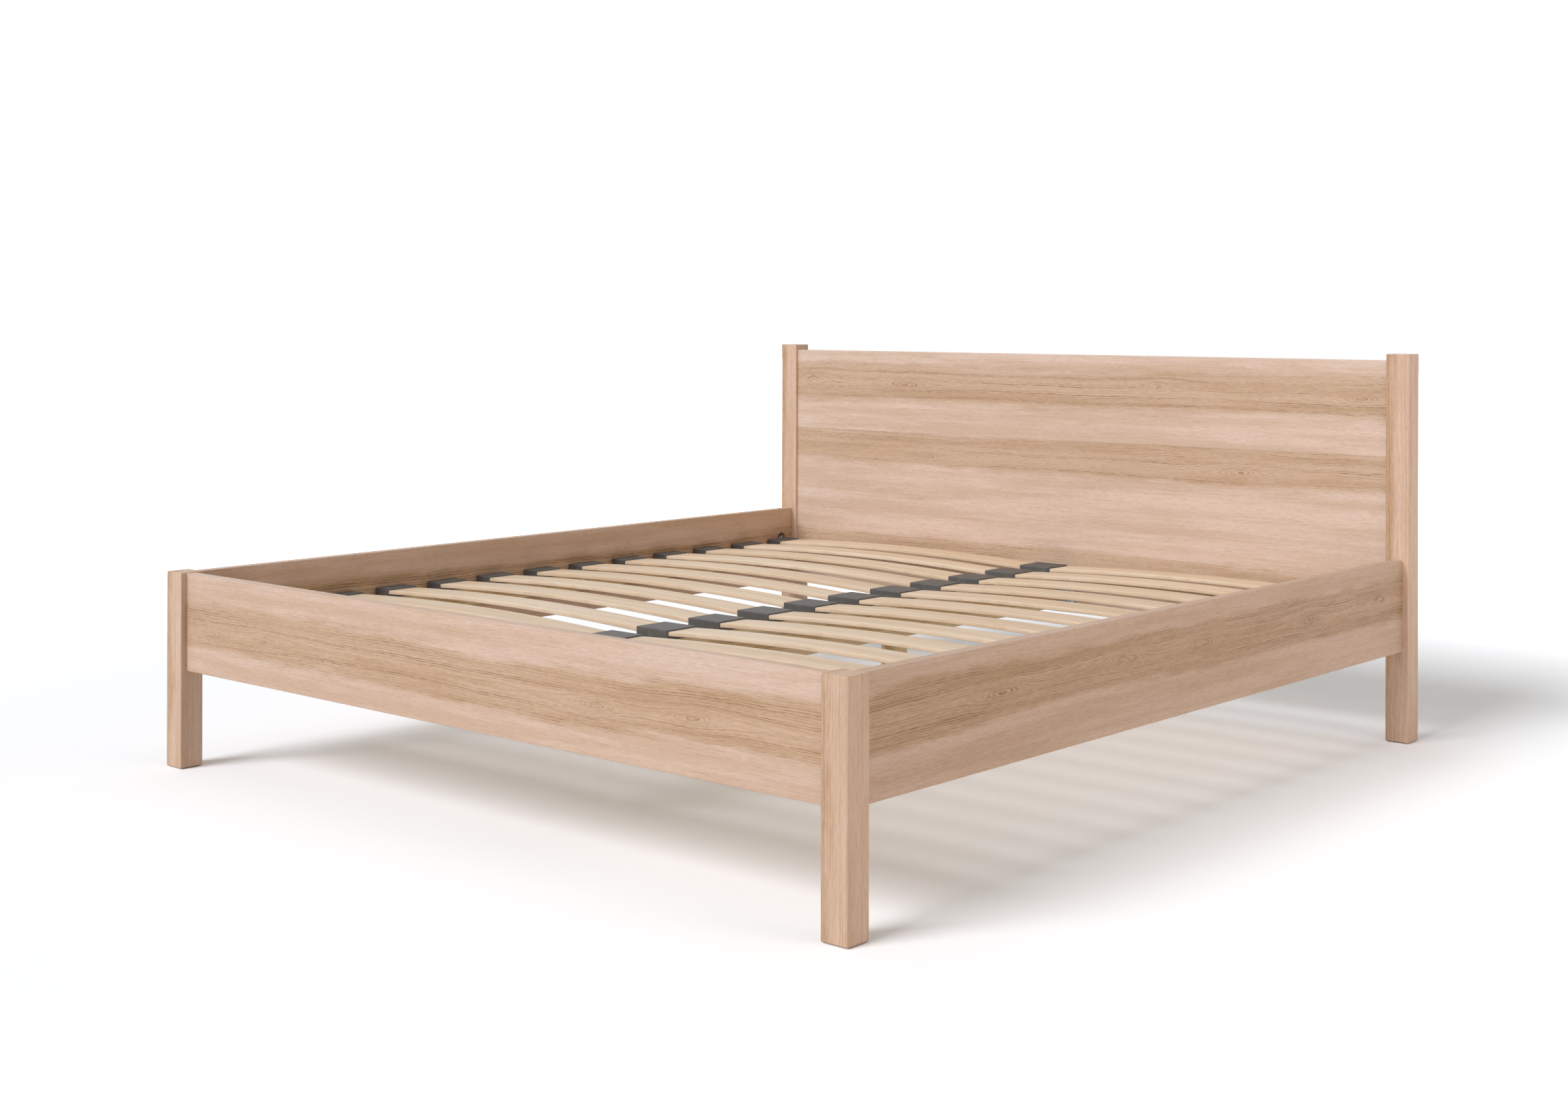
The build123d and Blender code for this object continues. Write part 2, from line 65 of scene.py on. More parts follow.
def srgb(red: int, green: int, blue: int) -> Colour:
    """Turn a screen colour into a linear one.

    Args:
        red: Red part, from 0 to 255.
        green: Green part, from 0 to 255.
        blue: Blue part, from 0 to 255.

    Returns:
        The linear colour, with full alpha.
    """

    def linear(part: int) -> float:
        """Undo the screen curve for one part."""
        share = part / 255
        return share / 12.92 if share <= 0.04045 else ((share + 0.055) / 1.055) ** 2.4

    return (linear(red), linear(green), linear(blue), 1.0)


def clamped(share: float) -> float:
    """Keep a share from 0 to 1."""
    return min(1.0, max(0.0, share))


class Axis(Enum):
    """Directions of the shared frame: across the bed, along it and up."""

    X = 0
    Y = 1
    Z = 2


class Slot(Enum):
    """Material slots of the record, passed along with new pieces; nothing reads them."""

    SLAT = "slat_wood"
    ZINC = "zinc_steel"


class Shares(NamedTuple):
    """Strength of a mark in the pale wood and in the heart."""

    pale: float
    heart: float


@dataclass(frozen=True)
class Ease:
    """Smooth change from the least strength at low to the most at high. Low may be the larger one."""

    low: float
    high: float
    least: float = 0.0
    most: float = 1.0


class Graph:
    """Short calls that build one node tree."""

    def __init__(self, tree: bpy.types.NodeTree) -> None:
        """Keep the tree to build in.

        Args:
            tree: Tree that gets the nodes.
        """
        self.tree = tree

    def node(self, kind: str, **settings: object) -> bpy.types.Node:
        """Add a node.

        Args:
            kind: Type name of the node.
            **settings: Properties to set on it.

        Returns:
            The new node.
        """
        made = self.tree.nodes.new(kind)
        for name, value in settings.items():
            setattr(made, name, value)
        return made

    def feed(self, target: Socket, source: Feed) -> None:
        """Link a socket to an input, or set the input's value.

        Args:
            target: Input socket.
            source: Output socket or plain value.
        """
        if isinstance(source, bpy.types.NodeSocket):
            self.tree.links.new(source, target)
        else:
            target.default_value = source

    def result(self, kind: str, sources: Iterable[Feed], **settings: object) -> Socket:
        """Add a node, feed its inputs in their order and give its first output.

        Args:
            kind: Type name of the node.
            sources: What goes into its first inputs. The others keep their defaults.
            **settings: Properties to set on it.

        Returns:
            The first output.
        """
        made = self.node(kind, **settings)
        for target, source in zip(made.inputs, sources):
            self.feed(target, source)
        return made.outputs[0]

    def maths(self, operation: str, *values: Feed, clamp: bool = False) -> Socket:
        """Work out a number from up to three numbers, kept from 0 to 1 if it is clamped."""
        return self.result("ShaderNodeMath", values, operation=operation, use_clamp=clamp)

    def vector(self, operation: str, *vectors: Feed) -> Socket:
        """Work out a vector from up to three vectors."""
        return self.result("ShaderNodeVectorMath", vectors, operation=operation)

    def join(self, *parts: Feed) -> Socket:
        """Make a vector from three parts."""
        return self.result("ShaderNodeCombineXYZ", parts)

    def parts(self, vector: Socket) -> list[Socket]:
        """Split a vector into its three parts."""
        made = self.node("ShaderNodeSeparateXYZ")
        self.feed(made.inputs[0], vector)
        return list(made.outputs)

    def total(self, *values: Feed) -> Socket:
        """Sum of two or more values."""
        result = values[0]
        for value in values[1:]:
            result = self.maths("ADD", result, value)
        return result

    def noise(self, where: Socket, detail: float = 2.0, roughness: float = 0.5) -> Socket:
        """Add smooth noise at a scale of one per unit.

        Args:
            where: Place in the noise.
            detail: Number of finer layers.
            roughness: Strength of the finer layers.

        Returns:
            Noise around one half.
        """
        made = self.node("ShaderNodeTexNoise")
        self.feed(made.inputs["Vector"], where)
        made.inputs["Scale"].default_value = 1.0
        made.inputs["Detail"].default_value = detail
        made.inputs["Roughness"].default_value = roughness
        return made.outputs[0]

    def even_noise(self, rate: float, detail: float, roughness: float = 0.5) -> Socket:
        """Noise with as many repeats per metre in each direction."""
        return self.noise(self.vector("MULTIPLY", self.place(), (rate,) * 3), detail, roughness)

    def swing(self, noise: Socket, reach: float) -> Socket:
        """Centre noise on zero and give it a reach to each side."""
        return self.maths("MULTIPLY_ADD", noise, 2 * reach, -reach)

    def step(self, value: Socket, ease: Ease) -> Socket:
        """Ease a value from one strength to another.

        Args:
            value: What drives the change.
            ease: Where it starts and ends, and how strong it is there.

        Returns:
            The strength.
        """
        made = self.node("ShaderNodeMapRange", interpolation_type="SMOOTHSTEP")
        self.feed(made.inputs["Value"], value)
        ends = sorted(((ease.low, ease.least), (ease.high, ease.most)))
        for name, (place, strength) in zip(("Min", "Max"), ends):
            made.inputs[f"From {name}"].default_value = place
            made.inputs[f"To {name}"].default_value = strength
        return made.outputs[0]

    def mix(self, share: Feed, first: Feed, second: Feed, blend: str = "MIX") -> Socket:
        """Blend two colours.

        Args:
            share: How much of the second.
            first: First colour.
            second: Second colour.
            blend: Way of blending.

        Returns:
            The blended colour.
        """
        made = self.node("ShaderNodeMix", data_type="RGBA", blend_type=blend)
        self.feed(made.inputs[0], share)
        self.feed(made.inputs[6], first)
        self.feed(made.inputs[7], second)
        return made.outputs[2]

    def place(self) -> Socket:
        """Place on the object, in metres."""
        return self.node("ShaderNodeTexCoord").outputs["Object"]

    def attribute(self, name: str) -> Socket:
        """Value that a mesh carries under a name."""
        return self.node("ShaderNodeAttribute", attribute_name=name).outputs["Fac"]

    def surface(self, colour: Feed, roughness: Feed, height: Socket, relief: float,
                metallic: float = 0.0, specular: float = 0.5) -> None:
        """Finish the tree with a surface.

        Args:
            colour: Base colour.
            roughness: Roughness.
            height: Height of the fine relief, from 0 to 1.
            relief: Depth of that relief in metres.
            metallic: 1 for metals.
            specular: Strength of the gloss, 0.5 for a sealed surface.
        """
        shader = self.node("ShaderNodeBsdfPrincipled")
        self.feed(shader.inputs["Base Color"], colour)
        self.feed(shader.inputs["Roughness"], roughness)
        shader.inputs["Metallic"].default_value = metallic
        shader.inputs["Specular IOR Level"].default_value = specular
        bump = self.node("ShaderNodeBump")
        bump.inputs["Strength"].default_value = BUMP_STRENGTH
        bump.inputs["Distance"].default_value = relief
        self.feed(bump.inputs["Height"], height)
        self.feed(shader.inputs["Normal"], bump.outputs[0])
        self.output(shader)

    def output(self, shader: bpy.types.Node, kind: str = "ShaderNodeOutputMaterial") -> None:
        """Send a shader to the tree's output."""
        self.feed(self.node(kind).inputs["Surface"], shader.outputs[0])


def new_material(name: str) -> tuple[bpy.types.Material, Graph]:
    """Start an empty material.

    Args:
        name: Name of the material.

    Returns:
        The material and the graph of its tree.
    """
    material = bpy.data.materials.new(name)
    material.use_nodes = True
    material.node_tree.nodes.clear()
    log.info("finish %s", name)
    return material, Graph(material.node_tree)


@dataclass(frozen=True)
class Streaks:
    """Noise drawn out along the grain, in repeats per metre. The shift keeps one kind apart from the next."""

    along: float
    cross: float
    shift: float
    detail: float = 2.0
    roughness: float = 0.5


@dataclass(frozen=True)
class Wave:
    """Streaks that swing by a reach to each side of zero, in metres unless they are a tone."""

    streaks: Streaks
    reach: float


# Bends of the grain, of the year rings and of the eyes
FLOW = Streaks(1.0, 2.2, 0.0, 1.0)
RIPPLE = Wave(Streaks(4.6, 9.0, 5.0), 0.0065)
SHIVER = Wave(Streaks(20.0, 55.0, 9.0), 0.0012)
DEPTH_FLOW = Wave(Streaks(5.5, 6.0, 13.0), 0.0055)
RING_RIPPLE = Wave(Streaks(4.0, 30.0, 17.0), 0.0016)
FUZZ = Wave(Streaks(40.0, 140.0, 95.0, 3.0, 0.6), 0.0014)
EYE_TWIST = Wave(Streaks(26.0, 85.0, 99.0), 0.0075)
# Edge of the heart and broad tones
HEART_EDGE = Wave(Streaks(2.3, 16.0, 21.0, 4.0, 0.6), 0.026)
HEART_WISP = Wave(Streaks(11.0, 75.0, 103.0, 3.0, 0.6), 0.016)
TONE = Streaks(1.6, 34.0, 33.0, 3.0)
CLOUD = Wave(Streaks(8.0, 62.0, 91.0, 3.0, 0.6), 0.20)
# Gaps in the lines, and fine marks
FADE = Streaks(2.6, 22.0, 61.0, 3.0, 0.6)
BREAK = Streaks(42.0, 210.0, 81.0)
HAIR = Streaks(7.0, 210.0, 71.0, 2.0, 0.6)
DASH = Streaks(32.0, 180.0, 51.0, 3.0, 0.6)
FIBRE = Streaks(30.0, 520.0, 41.0)
SPECK = Streaks(58.0, 430.0, 107.0, 2.0, 0.55)

# How far a plank's seed and a kind's shift move its noise
SEED_ALONG = 7.31
SEED_CROSS = 3.17
SHIFT_THROUGH = 1.9


@dataclass(frozen=True)
class Years:
    """How the years of a tree differ. Rates are per metre from the pith, and off_pith is in metres."""

    width_rate: float = 70.0
    width_swing: float = 1.2
    spell_rate: float = 105.0
    spell_shift: float = 40.0
    strong: Ease = Ease(0.42, 0.62, 0.28)
    late_start: Ease = Ease(0.30, 0.92)
    late_end: Ease = Ease(1.0, 0.90)
    off_pith: Ease = Ease(0.001, 0.014, 0.25)
    core: Ease = Ease(0.88, 0.995)


YEARS = Years()


@dataclass(frozen=True)
class Knot:
    """An eye in a plank's figure, in metres from the plank's middle."""

    along: float
    across: float
    length: float = 0.044
    width: float = 0.0120
    bulge: float = 0.016
    swell: float = 0.008
    core: float = 0.15
    around_length: float = 2.6
    around_width: float = 2.4

    def around(self) -> "Knot":
        """Wider area in which the lines bend round the eye."""
        return replace(self, length=self.around_length * self.length, width=self.around_width * self.width)


Axes = tuple[Axis, Axis, Axis]
ACROSS_BED: Axes = (Axis.X, Axis.Z, Axis.Y)
ALONG_BED: Axes = (Axis.Y, Axis.Z, Axis.X)
UPRIGHT: Axes = (Axis.Z, Axis.X, Axis.Y)


@dataclass(frozen=True)
class Grain:
    """How one plank was cut from its tree, in metres, and the painted shade that may darken it. The axes run
    along the grain, across it and through.
    """

    centre: Point
    axes: Axes
    seed: float
    heart_middle: float = 0.0
    heart_half: float = 0.050
    heart_fade: float = 0.011
    rim_inner: float = 0.030
    rim_outer: float = 0.006
    pith_across: float = 0.0
    pith_depth: float = 0.020
    ring: float = 0.0046
    wander: float = 0.012
    lean: float = 0.0
    # Colour that multiplies the whole plank: painted shade wherever it is not white
    tint: Colour = WHITE
    knots: tuple[Knot, ...] = ()


class Plank:
    """One plank inside a shader tree: its own coordinates, noise, year rings and heart."""

    def __init__(self, graph: Graph, grain: Grain) -> None:
        """Measure from the plank's middle, along the grain, across it and through it.

        Args:
            graph: Shader tree that gets the nodes.
            grain: How the plank was cut.
        """
        self.graph = graph
        self.grain = grain
        local = graph.parts(graph.vector("SUBTRACT", graph.place(), grain.centre))
        self.along, self.level, self.through = (local[axis.value] for axis in grain.axes)
        self.where = graph.join(self.along, self.level, self.through)
        bends = [self.wave(wave) for wave in (Wave(FLOW, grain.wander), RIPPLE, SHIVER)]
        self.across = graph.total(self.level, *bends)

    def noise(self, streaks: Streaks) -> Socket:
        """Noise drawn out along the grain, different for each plank."""
        seed, shift = self.grain.seed, streaks.shift
        offset = (seed * SEED_ALONG + shift, seed * SEED_CROSS - shift, shift * SHIFT_THROUGH)
        rates = (streaks.along, streaks.cross, streaks.cross)
        where = self.graph.vector("MULTIPLY_ADD", self.where, rates, offset)
        return self.graph.noise(where, streaks.detail, streaks.roughness)

    def wave(self, wave: Wave) -> Socket:
        """Swing of a wave at each place."""
        return self.graph.swing(self.noise(wave.streaks), wave.reach)

    def marks(self, streaks: Streaks, ease: Ease) -> Socket:
        """Streaks with an eased edge, from the ease's least strength to its most."""
        return self.graph.step(self.noise(streaks), ease)

    def by_year(self, radius: Socket, rate: float, shift: float = 0.0) -> Socket:
        """Noise that changes only with the distance from the pith."""
        place = self.graph.maths("MULTIPLY_ADD", radius, rate, self.grain.seed + shift)
        return self.graph.noise(self.graph.join(place, 0.0, 0.0))

    def eye(self, knot: Knot) -> Socket:
        """Bell-shaped bump at a knot, 1 in its middle."""
        maths = self.graph.maths
        first = maths("DIVIDE", maths("SUBTRACT", self.along, knot.along), knot.length)
        across = maths("ADD", self.across, self.wave(EYE_TWIST))
        second = maths("DIVIDE", maths("SUBTRACT", across, knot.across), knot.width)
        squares = maths("MULTIPLY_ADD", first, first, maths("MULTIPLY", second, second))
        return maths("POWER", math.e, maths("MULTIPLY", squares, -1.0))

    def rings(self) -> tuple[Socket, Feed]:
        """Year rings on the cut faces.

        Returns:
            Dark late wood at the end of each year, uneven from year to year, and the knots' dark cores.
        """
        graph, maths, grain = self.graph, self.graph.maths, self.grain
        from_pith = maths("SUBTRACT", self.across, grain.pith_across)
        below = graph.total(self.through, grain.pith_depth, self.wave(DEPTH_FLOW))
        squares = maths("MULTIPLY_ADD", from_pith, from_pith, maths("MULTIPLY", below, below))
        radius = graph.total(maths("SQRT", squares), self.wave(RING_RIPPLE), self.wave(FUZZ))
        cores: Feed = 0.0
        eyes: Feed = 0.0
        for knot in grain.knots:
            eye = self.eye(knot)
            radius = maths("MULTIPLY_ADD", eye, -knot.bulge, radius)
            radius = maths("MULTIPLY_ADD", self.eye(knot.around()), -knot.swell, radius)
            eyes = maths("MAXIMUM", eyes, eye)
            cores = maths("MULTIPLY_ADD", graph.step(eye, YEARS.core), knot.core, cores)
        uneven = graph.swing(self.by_year(radius, YEARS.width_rate), YEARS.width_swing)
        year = maths("FRACT", maths("ADD", maths("DIVIDE", radius, grain.ring), uneven))
        late = maths("MULTIPLY", graph.step(year, YEARS.late_start), graph.step(year, YEARS.late_end))
        strong = graph.step(self.by_year(radius, YEARS.spell_rate, YEARS.spell_shift), YEARS.strong)
        strong = maths("MULTIPLY", strong, graph.step(maths("ABSOLUTE", from_pith), YEARS.off_pith))
        return maths("MULTIPLY", late, maths("MAXIMUM", strong, eyes)), cores

    def heart(self) -> tuple[Socket, Socket]:
        """Darker wood about the pith.

        Returns:
            Where the heart is, and its outer rim.
        """
        graph, grain, half = self.graph, self.grain, self.grain.heart_half
        edge = graph.total(self.wave(HEART_EDGE), self.wave(HEART_WISP))
        away = graph.maths("ABSOLUTE", graph.total(self.across, -grain.heart_middle, edge))
        heart = graph.step(away, Ease(half + grain.heart_fade, half - grain.heart_fade))
        return heart, graph.step(away, Ease(half - grain.rim_inner, half - grain.rim_outer))

    def between(self, heart: Socket, shares: Shares) -> Socket:
        """Strength of a mark at each place, by how much of the place is heart."""
        return self.graph.maths("MULTIPLY_ADD", heart, shares.heart - shares.pale, shares.pale)


@dataclass(frozen=True)
class WoodFinish:
    """Oiled wood whose figure runs through the solid plank."""

    pale: Colour
    warm: Colour
    heart: Colour
    streak: Colour
    line: Colour
    lines: Shares = Shares(0.22, 1.40)
    hairs: Shares = Shares(0.20, 0.28)
    flecks: Shares = Shares(0.42, 0.32)
    specks: Shares = Shares(0.34, 0.52)
    heart_share: float = 0.88
    rim_share: float = 0.50
    streak_share: float = 0.60
    tone_ease: Ease = Ease(0.33, 0.67)
    streak_ease: Ease = Ease(0.44, 0.70)
    fade_ease: Ease = Ease(0.36, 0.66, 0.45)
    break_ease: Ease = Ease(0.38, 0.60, 0.50)
    hair_ease: Ease = Ease(0.50, 0.70)
    fleck_ease: Ease = Ease(0.56, 0.66)
    fibre_ease: Ease = Ease(0.54, 0.78, 0.0, 0.17)
    line_depth: float = 0.5
    fibre_height: float = 0.9
    relief: float = 0.00013
    roughness: float = 0.42
    rough_rise: float = 0.16
    specular: float = 0.28

    def material(self, name: str, grain: Grain) -> bpy.types.Material:
        """Build the material of one plank.

        Args:
            name: Name of the material.
            grain: How the plank was cut.

        Returns:
            The material.
        """
        material, graph = new_material(name)
        plank = Plank(graph, grain)
        lines, cores = plank.rings()
        fibre = plank.noise(FIBRE)
        colour = self._colour(plank, lines, fibre)
        if grain.knots:
            colour = graph.mix(cores, colour, self.line)
        fibres_up = graph.maths("MULTIPLY", fibre, self.fibre_height)
        height = graph.maths("MULTIPLY_ADD", lines, -self.line_depth, fibres_up)
        roughness = graph.maths("MULTIPLY_ADD", fibre, self.rough_rise, self.roughness)
        graph.surface(colour, roughness, height, self.relief, specular=self.specular)
        return material

    def _colour(self, plank: Plank, lines: Socket, fibre: Socket) -> Socket:
        """Colour of the wood, from its broad tones to its fibres.

        Args:
            plank: The plank.
            lines: Its late wood.
            fibre: Its finest noise.

        Returns:
            The colour.
        """
        graph, maths = plank.graph, plank.graph.maths
        heart, rim = plank.heart()
        tone = graph.total(plank.noise(TONE), plank.wave(CLOUD))
        tone = maths("MULTIPLY_ADD", plank.level, -plank.grain.lean, tone)
        colour = graph.mix(graph.step(tone, self.tone_ease), self.pale, self.warm)
        colour = graph.mix(maths("MULTIPLY", heart, self.heart_share), colour, self.heart)
        streak = maths("MULTIPLY_ADD", rim, self.rim_share, graph.step(tone, self.streak_ease))
        streak = maths("MULTIPLY", maths("MULTIPLY", streak, heart), self.streak_share, clamp=True)
        colour = graph.mix(streak, colour, self.streak)
        gaps = maths("MULTIPLY", plank.marks(FADE, self.fade_ease), plank.marks(BREAK, self.break_ease))
        depth = maths("MULTIPLY", plank.between(heart, self.lines), gaps)
        colour = graph.mix(maths("MULTIPLY", lines, depth), colour, self.line)
        hairs = maths("MULTIPLY", plank.marks(HAIR, self.hair_ease), plank.between(heart, self.hairs))
        colour = graph.mix(hairs, colour, self.streak)
        flecks = maths("MULTIPLY", plank.marks(DASH, self.fleck_ease), plank.between(heart, self.flecks))
        colour = graph.mix(flecks, colour, self.heart)
        # Painted shade: the plank's tint darkens the whole plank
        colour = graph.mix(1.0, colour, plank.grain.tint, "MULTIPLY")
        colour = graph.mix(graph.step(fibre, self.fibre_ease), colour, self.line)
        speck = maths("SUBTRACT", plank.noise(SPECK), 0.5)
        shade = maths("MULTIPLY_ADD", speck, plank.between(heart, self.specks), 1.0)
        return graph.mix(1.0, colour, graph.join(shade, shade, shade), "MULTIPLY")


@dataclass(frozen=True)
class SlatFinish:
    """Thin glued layers of pale wood, seen as lines on the slats' edges. Rates are per metre."""

    pale: Colour
    warm: Colour
    glue: Colour
    seed_spread: float = 40.0
    tone_rates: Point = (1.6, 34.0, 20.0)
    tone_detail: float = 4.0
    tone_ease: Ease = Ease(0.30, 0.70)
    fibre_rates: Point = (22.0, 700.0, 240.0)
    fibre_ease: Ease = Ease(0.55, 0.78, 0.0, 0.22)
    sway_rates: Point = (2.4, 9.0, 4.0)
    sway: float = 5.0
    year_rate: float = 90.0
    year_start: Ease = Ease(0.35, 0.95)
    year_end: Ease = Ease(1.0, 0.95)
    year_share: float = 0.16
    layers: int = 7
    layer_share: float = 0.30
    glue_half: float = 0.06
    glue_share: float = 0.75
    skin: float = 0.03
    relief: float = 0.0002
    roughness: float = 0.42
    rough_rise: float = 0.2

    def material(self, name: str) -> bpy.types.Material:
        """Build the material, which reads each slat's own seed and layer height.

        Args:
            name: Name of the material.

        Returns:
            The material.
        """
        material, graph = new_material(name)
        maths = graph.maths
        seed = maths("MULTIPLY", graph.attribute("piece_seed"), self.seed_spread)
        offset = graph.join(seed, seed, seed)

        def noise_at(rates: Point, detail: float = 2.0) -> Socket:
            """Noise drawn out along a slat, different for each slat."""
            return graph.noise(graph.vector("MULTIPLY_ADD", graph.place(), rates, offset), detail)

        fibre = noise_at(self.fibre_rates)
        shift = maths("ADD", graph.swing(noise_at(self.sway_rates), self.sway), seed)
        across = graph.parts(graph.place())[Axis.Y.value]
        year = maths("FRACT", maths("MULTIPLY_ADD", across, self.year_rate, shift))
        lines = maths("MULTIPLY", graph.step(year, self.year_start), graph.step(year, self.year_end))
        tone = graph.step(noise_at(self.tone_rates, self.tone_detail), self.tone_ease)
        colour = graph.mix(tone, self.pale, self.warm)
        colour = graph.mix(maths("MULTIPLY", lines, self.year_share), colour, self.glue)
        colour = graph.mix(graph.step(fibre, self.fibre_ease), colour, self.glue)
        colour = self._layered(graph, colour)
        roughness = maths("MULTIPLY_ADD", fibre, self.rough_rise, self.roughness)
        graph.surface(colour, roughness, fibre, self.relief)
        return material

    def _layered(self, graph: Graph, colour: Socket) -> Socket:
        """Darken every other layer and the glue between the layers, inside the slat's skin.

        Args:
            graph: Graph of the material.
            colour: Colour of plain wood.

        Returns:
            The colour with its layers.
        """
        maths = graph.maths
        height = graph.attribute("layer_height")
        below_top = maths("LESS_THAN", height, 1.0 - self.skin)
        inside = maths("MULTIPLY", maths("GREATER_THAN", height, self.skin), below_top)
        count = maths("MULTIPLY", height, float(self.layers))
        odd = maths("GREATER_THAN", maths("FRACT", maths("MULTIPLY", count, 0.5)), 0.5)
        from_middle = maths("ABSOLUTE", maths("SUBTRACT", maths("FRACT", count), 0.5))
        joint = maths("GREATER_THAN", from_middle, 0.5 - self.glue_half)
        for where, share, tint in ((odd, self.layer_share, self.warm), (joint, self.glue_share, self.glue)):
            colour = graph.mix(maths("MULTIPLY", maths("MULTIPLY", where, inside), share), colour, tint)
        return colour


@dataclass(frozen=True)
class MouldedFinish:
    """Moulded plastic or rubber with a fine grain and slight scuffs. Rates are per metre."""

    colour: Colour
    scuff: Colour
    grain_rate: float = 1400.0
    relief: float = 0.00012
    scuff_rate: float = 38.0
    scuff_detail: float = 4.0
    scuff_breakup: float = 0.6
    scuff_ease: Ease = Ease(0.45, 0.75, 0.0, 0.6)
    roughness: float = 0.43
    rough_rise: float = 0.24

    def material(self, name: str) -> bpy.types.Material:
        """Build the material.

        Args:
            name: Name of the material.

        Returns:
            The material.
        """
        material, graph = new_material(name)
        scuffs = graph.even_noise(self.scuff_rate, self.scuff_detail, self.scuff_breakup)
        colour = graph.mix(graph.step(scuffs, self.scuff_ease), self.colour, self.scuff)
        roughness = graph.maths("MULTIPLY_ADD", scuffs, self.rough_rise, self.roughness)
        graph.surface(colour, roughness, graph.even_noise(self.grain_rate, 2.0), self.relief)
        return material


@dataclass(frozen=True)
class SteelFinish:
    """Zinc-plated steel, with the flaky pattern of the coat. Rates are per metre."""

    colour: Colour
    dull: Colour
    flake_rate: float = 260.0
    flake_share: float = 0.35
    cloud_rate: float = 55.0
    cloud_detail: float = 3.0
    cloud_share: float = 0.5
    relief: float = 0.00004
    roughness: float = 0.28
    rough_rise: float = 0.2

    def material(self, name: str) -> bpy.types.Material:
        """Build the material.

        Args:
            name: Name of the material.

        Returns:
            The material.
        """
        material, graph = new_material(name)
        flakes = graph.node("ShaderNodeTexVoronoi")
        graph.feed(flakes.inputs["Vector"], graph.place())
        flakes.inputs["Scale"].default_value = self.flake_rate
        flake = graph.parts(flakes.outputs["Color"])[0]
        cloud = graph.even_noise(self.cloud_rate, self.cloud_detail)
        clouded = graph.maths("MULTIPLY", cloud, self.cloud_share)
        share = graph.maths("MULTIPLY_ADD", flake, self.flake_share, clouded)
        roughness = graph.maths("MULTIPLY_ADD", share, self.rough_rise, self.roughness)
        graph.surface(graph.mix(share, self.colour, self.dull), roughness, cloud, self.relief, metallic=1.0)
        return material


def dress(node: str, material: bpy.types.Material) -> None:
    """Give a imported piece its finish.

    Args:
        node: Name of the piece.
        material: Finish for all of it.
    """
    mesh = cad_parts[node].data
    mesh.materials.clear()
    mesh.materials.append(material)
    mesh.polygons.foreach_set("material_index", [0] * len(mesh.polygons))
    log.info("dressed %s with %s", node, material.name)


def middle_of(node: str) -> Point:
    """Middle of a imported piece's box, in metres."""
    low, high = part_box(node)
    return tuple((low + high) / 2)


def loose_boxes(node: str) -> list[tuple[Vector, Vector]]:
    """Boxes of the separate solids that share one node.

    Args:
        node: Name of the node.

    Returns:
        Lowest and highest corner of each solid.
    """
    shape = bmesh.new()
    shape.from_mesh(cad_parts[node].data)
    bmesh.ops.remove_doubles(shape, verts=shape.verts, dist=MERGE_DISTANCE)
    shape.verts.ensure_lookup_table()
    boxes: list[tuple[Vector, Vector]] = []
    seen: set[int] = set()
    for start in shape.verts:
        if start.index in seen:
            continue
        queue = [start]
        seen.add(start.index)
        low, high = start.co.copy(), start.co.copy()
        while queue:
            vertex = queue.pop()
            low = Vector(map(min, low, vertex.co))
            high = Vector(map(max, high, vertex.co))
            for edge in vertex.link_edges:
                other = edge.other_vert(vertex)
                if other.index not in seen:
                    seen.add(other.index)
                    queue.append(other)
        boxes.append((low, high))
    shape.free()
    return boxes


def new_object(name: str, data: bpy.types.ID) -> bpy.types.Object:
    """Add an object to the scene, at the origin."""
    made = bpy.data.objects.new(name, data)
    bpy.context.scene.collection.objects.link(made)
    return made


def join_rows(shape: bmesh.types.BMesh, rows: Sequence[Sequence[bmesh.types.BMVert]]) -> None:
    """Join closed rows of points with faces, each row to the next."""
    for one, two in zip(rows, rows[1:]):
        for step in range(len(one)):
            after = (step + 1) % len(one)
            shape.faces.new((one[step], one[after], two[after], two[step]))


def finish_mesh(shape: bmesh.types.BMesh, name: str, sharp_degrees: float = 35.0) -> bpy.types.Mesh:
    """Shade a shape smooth with sharp edges where it turns, and make it a mesh.

    Args:
        shape: Shape to use up.
        name: Name of the mesh.
        sharp_degrees: Turn from which an edge is sharp.

    Returns:
        The mesh.
    """
    bmesh.ops.recalc_face_normals(shape, faces=shape.faces)
    for face in shape.faces:
        face.smooth = True
    for edge in shape.edges:
        edge.smooth = edge.calc_face_angle(0.0) < math.radians(sharp_degrees)
    mesh = bpy.data.meshes.new(name)
    shape.to_mesh(mesh)
    shape.free()
    return mesh


def tube(name: str, rings: Sequence[Ring], segments: int) -> bpy.types.Mesh:
    """Closed shape about Z through a row of rings.

    Args:
        name: Name of the mesh.
        rings: For each ring, radius and height by angle, from one end to the other.
        segments: Points on each ring.

    Returns:
        The mesh.
    """
    shape = bmesh.new()
    angles = [2 * math.pi * step / segments for step in range(segments)]
    rows = []
    for ring in rings:
        row = []
        for angle in angles:
            radius, height = ring(angle)
            row.append(shape.verts.new((radius * math.cos(angle), radius * math.sin(angle), height)))
        rows.append(row)
    join_rows(shape, rows)
    for row in (rows[0], rows[-1]):
        middle = shape.verts.new(sum((vertex.co for vertex in row), Vector()) / segments)
        for step in range(segments):
            shape.faces.new((row[step], row[(step + 1) % segments], middle))
    return finish_mesh(shape, name)


def plain_ring(radius: float, height: float) -> Ring:
    """Round ring of one height."""
    return lambda angle: (radius, height)


def hex_ring(width: float, height: float, limit: float) -> Ring:
    """Hexagonal ring of a width across flats, its corners cut back to a radius."""

    def at(angle: float) -> tuple[float, float]:
        """Radius and height at an angle."""
        turn = math.pi / 3
        off = (angle % turn) - turn / 2
        return (min(width / 2 / math.cos(off), limit), height)

    return at


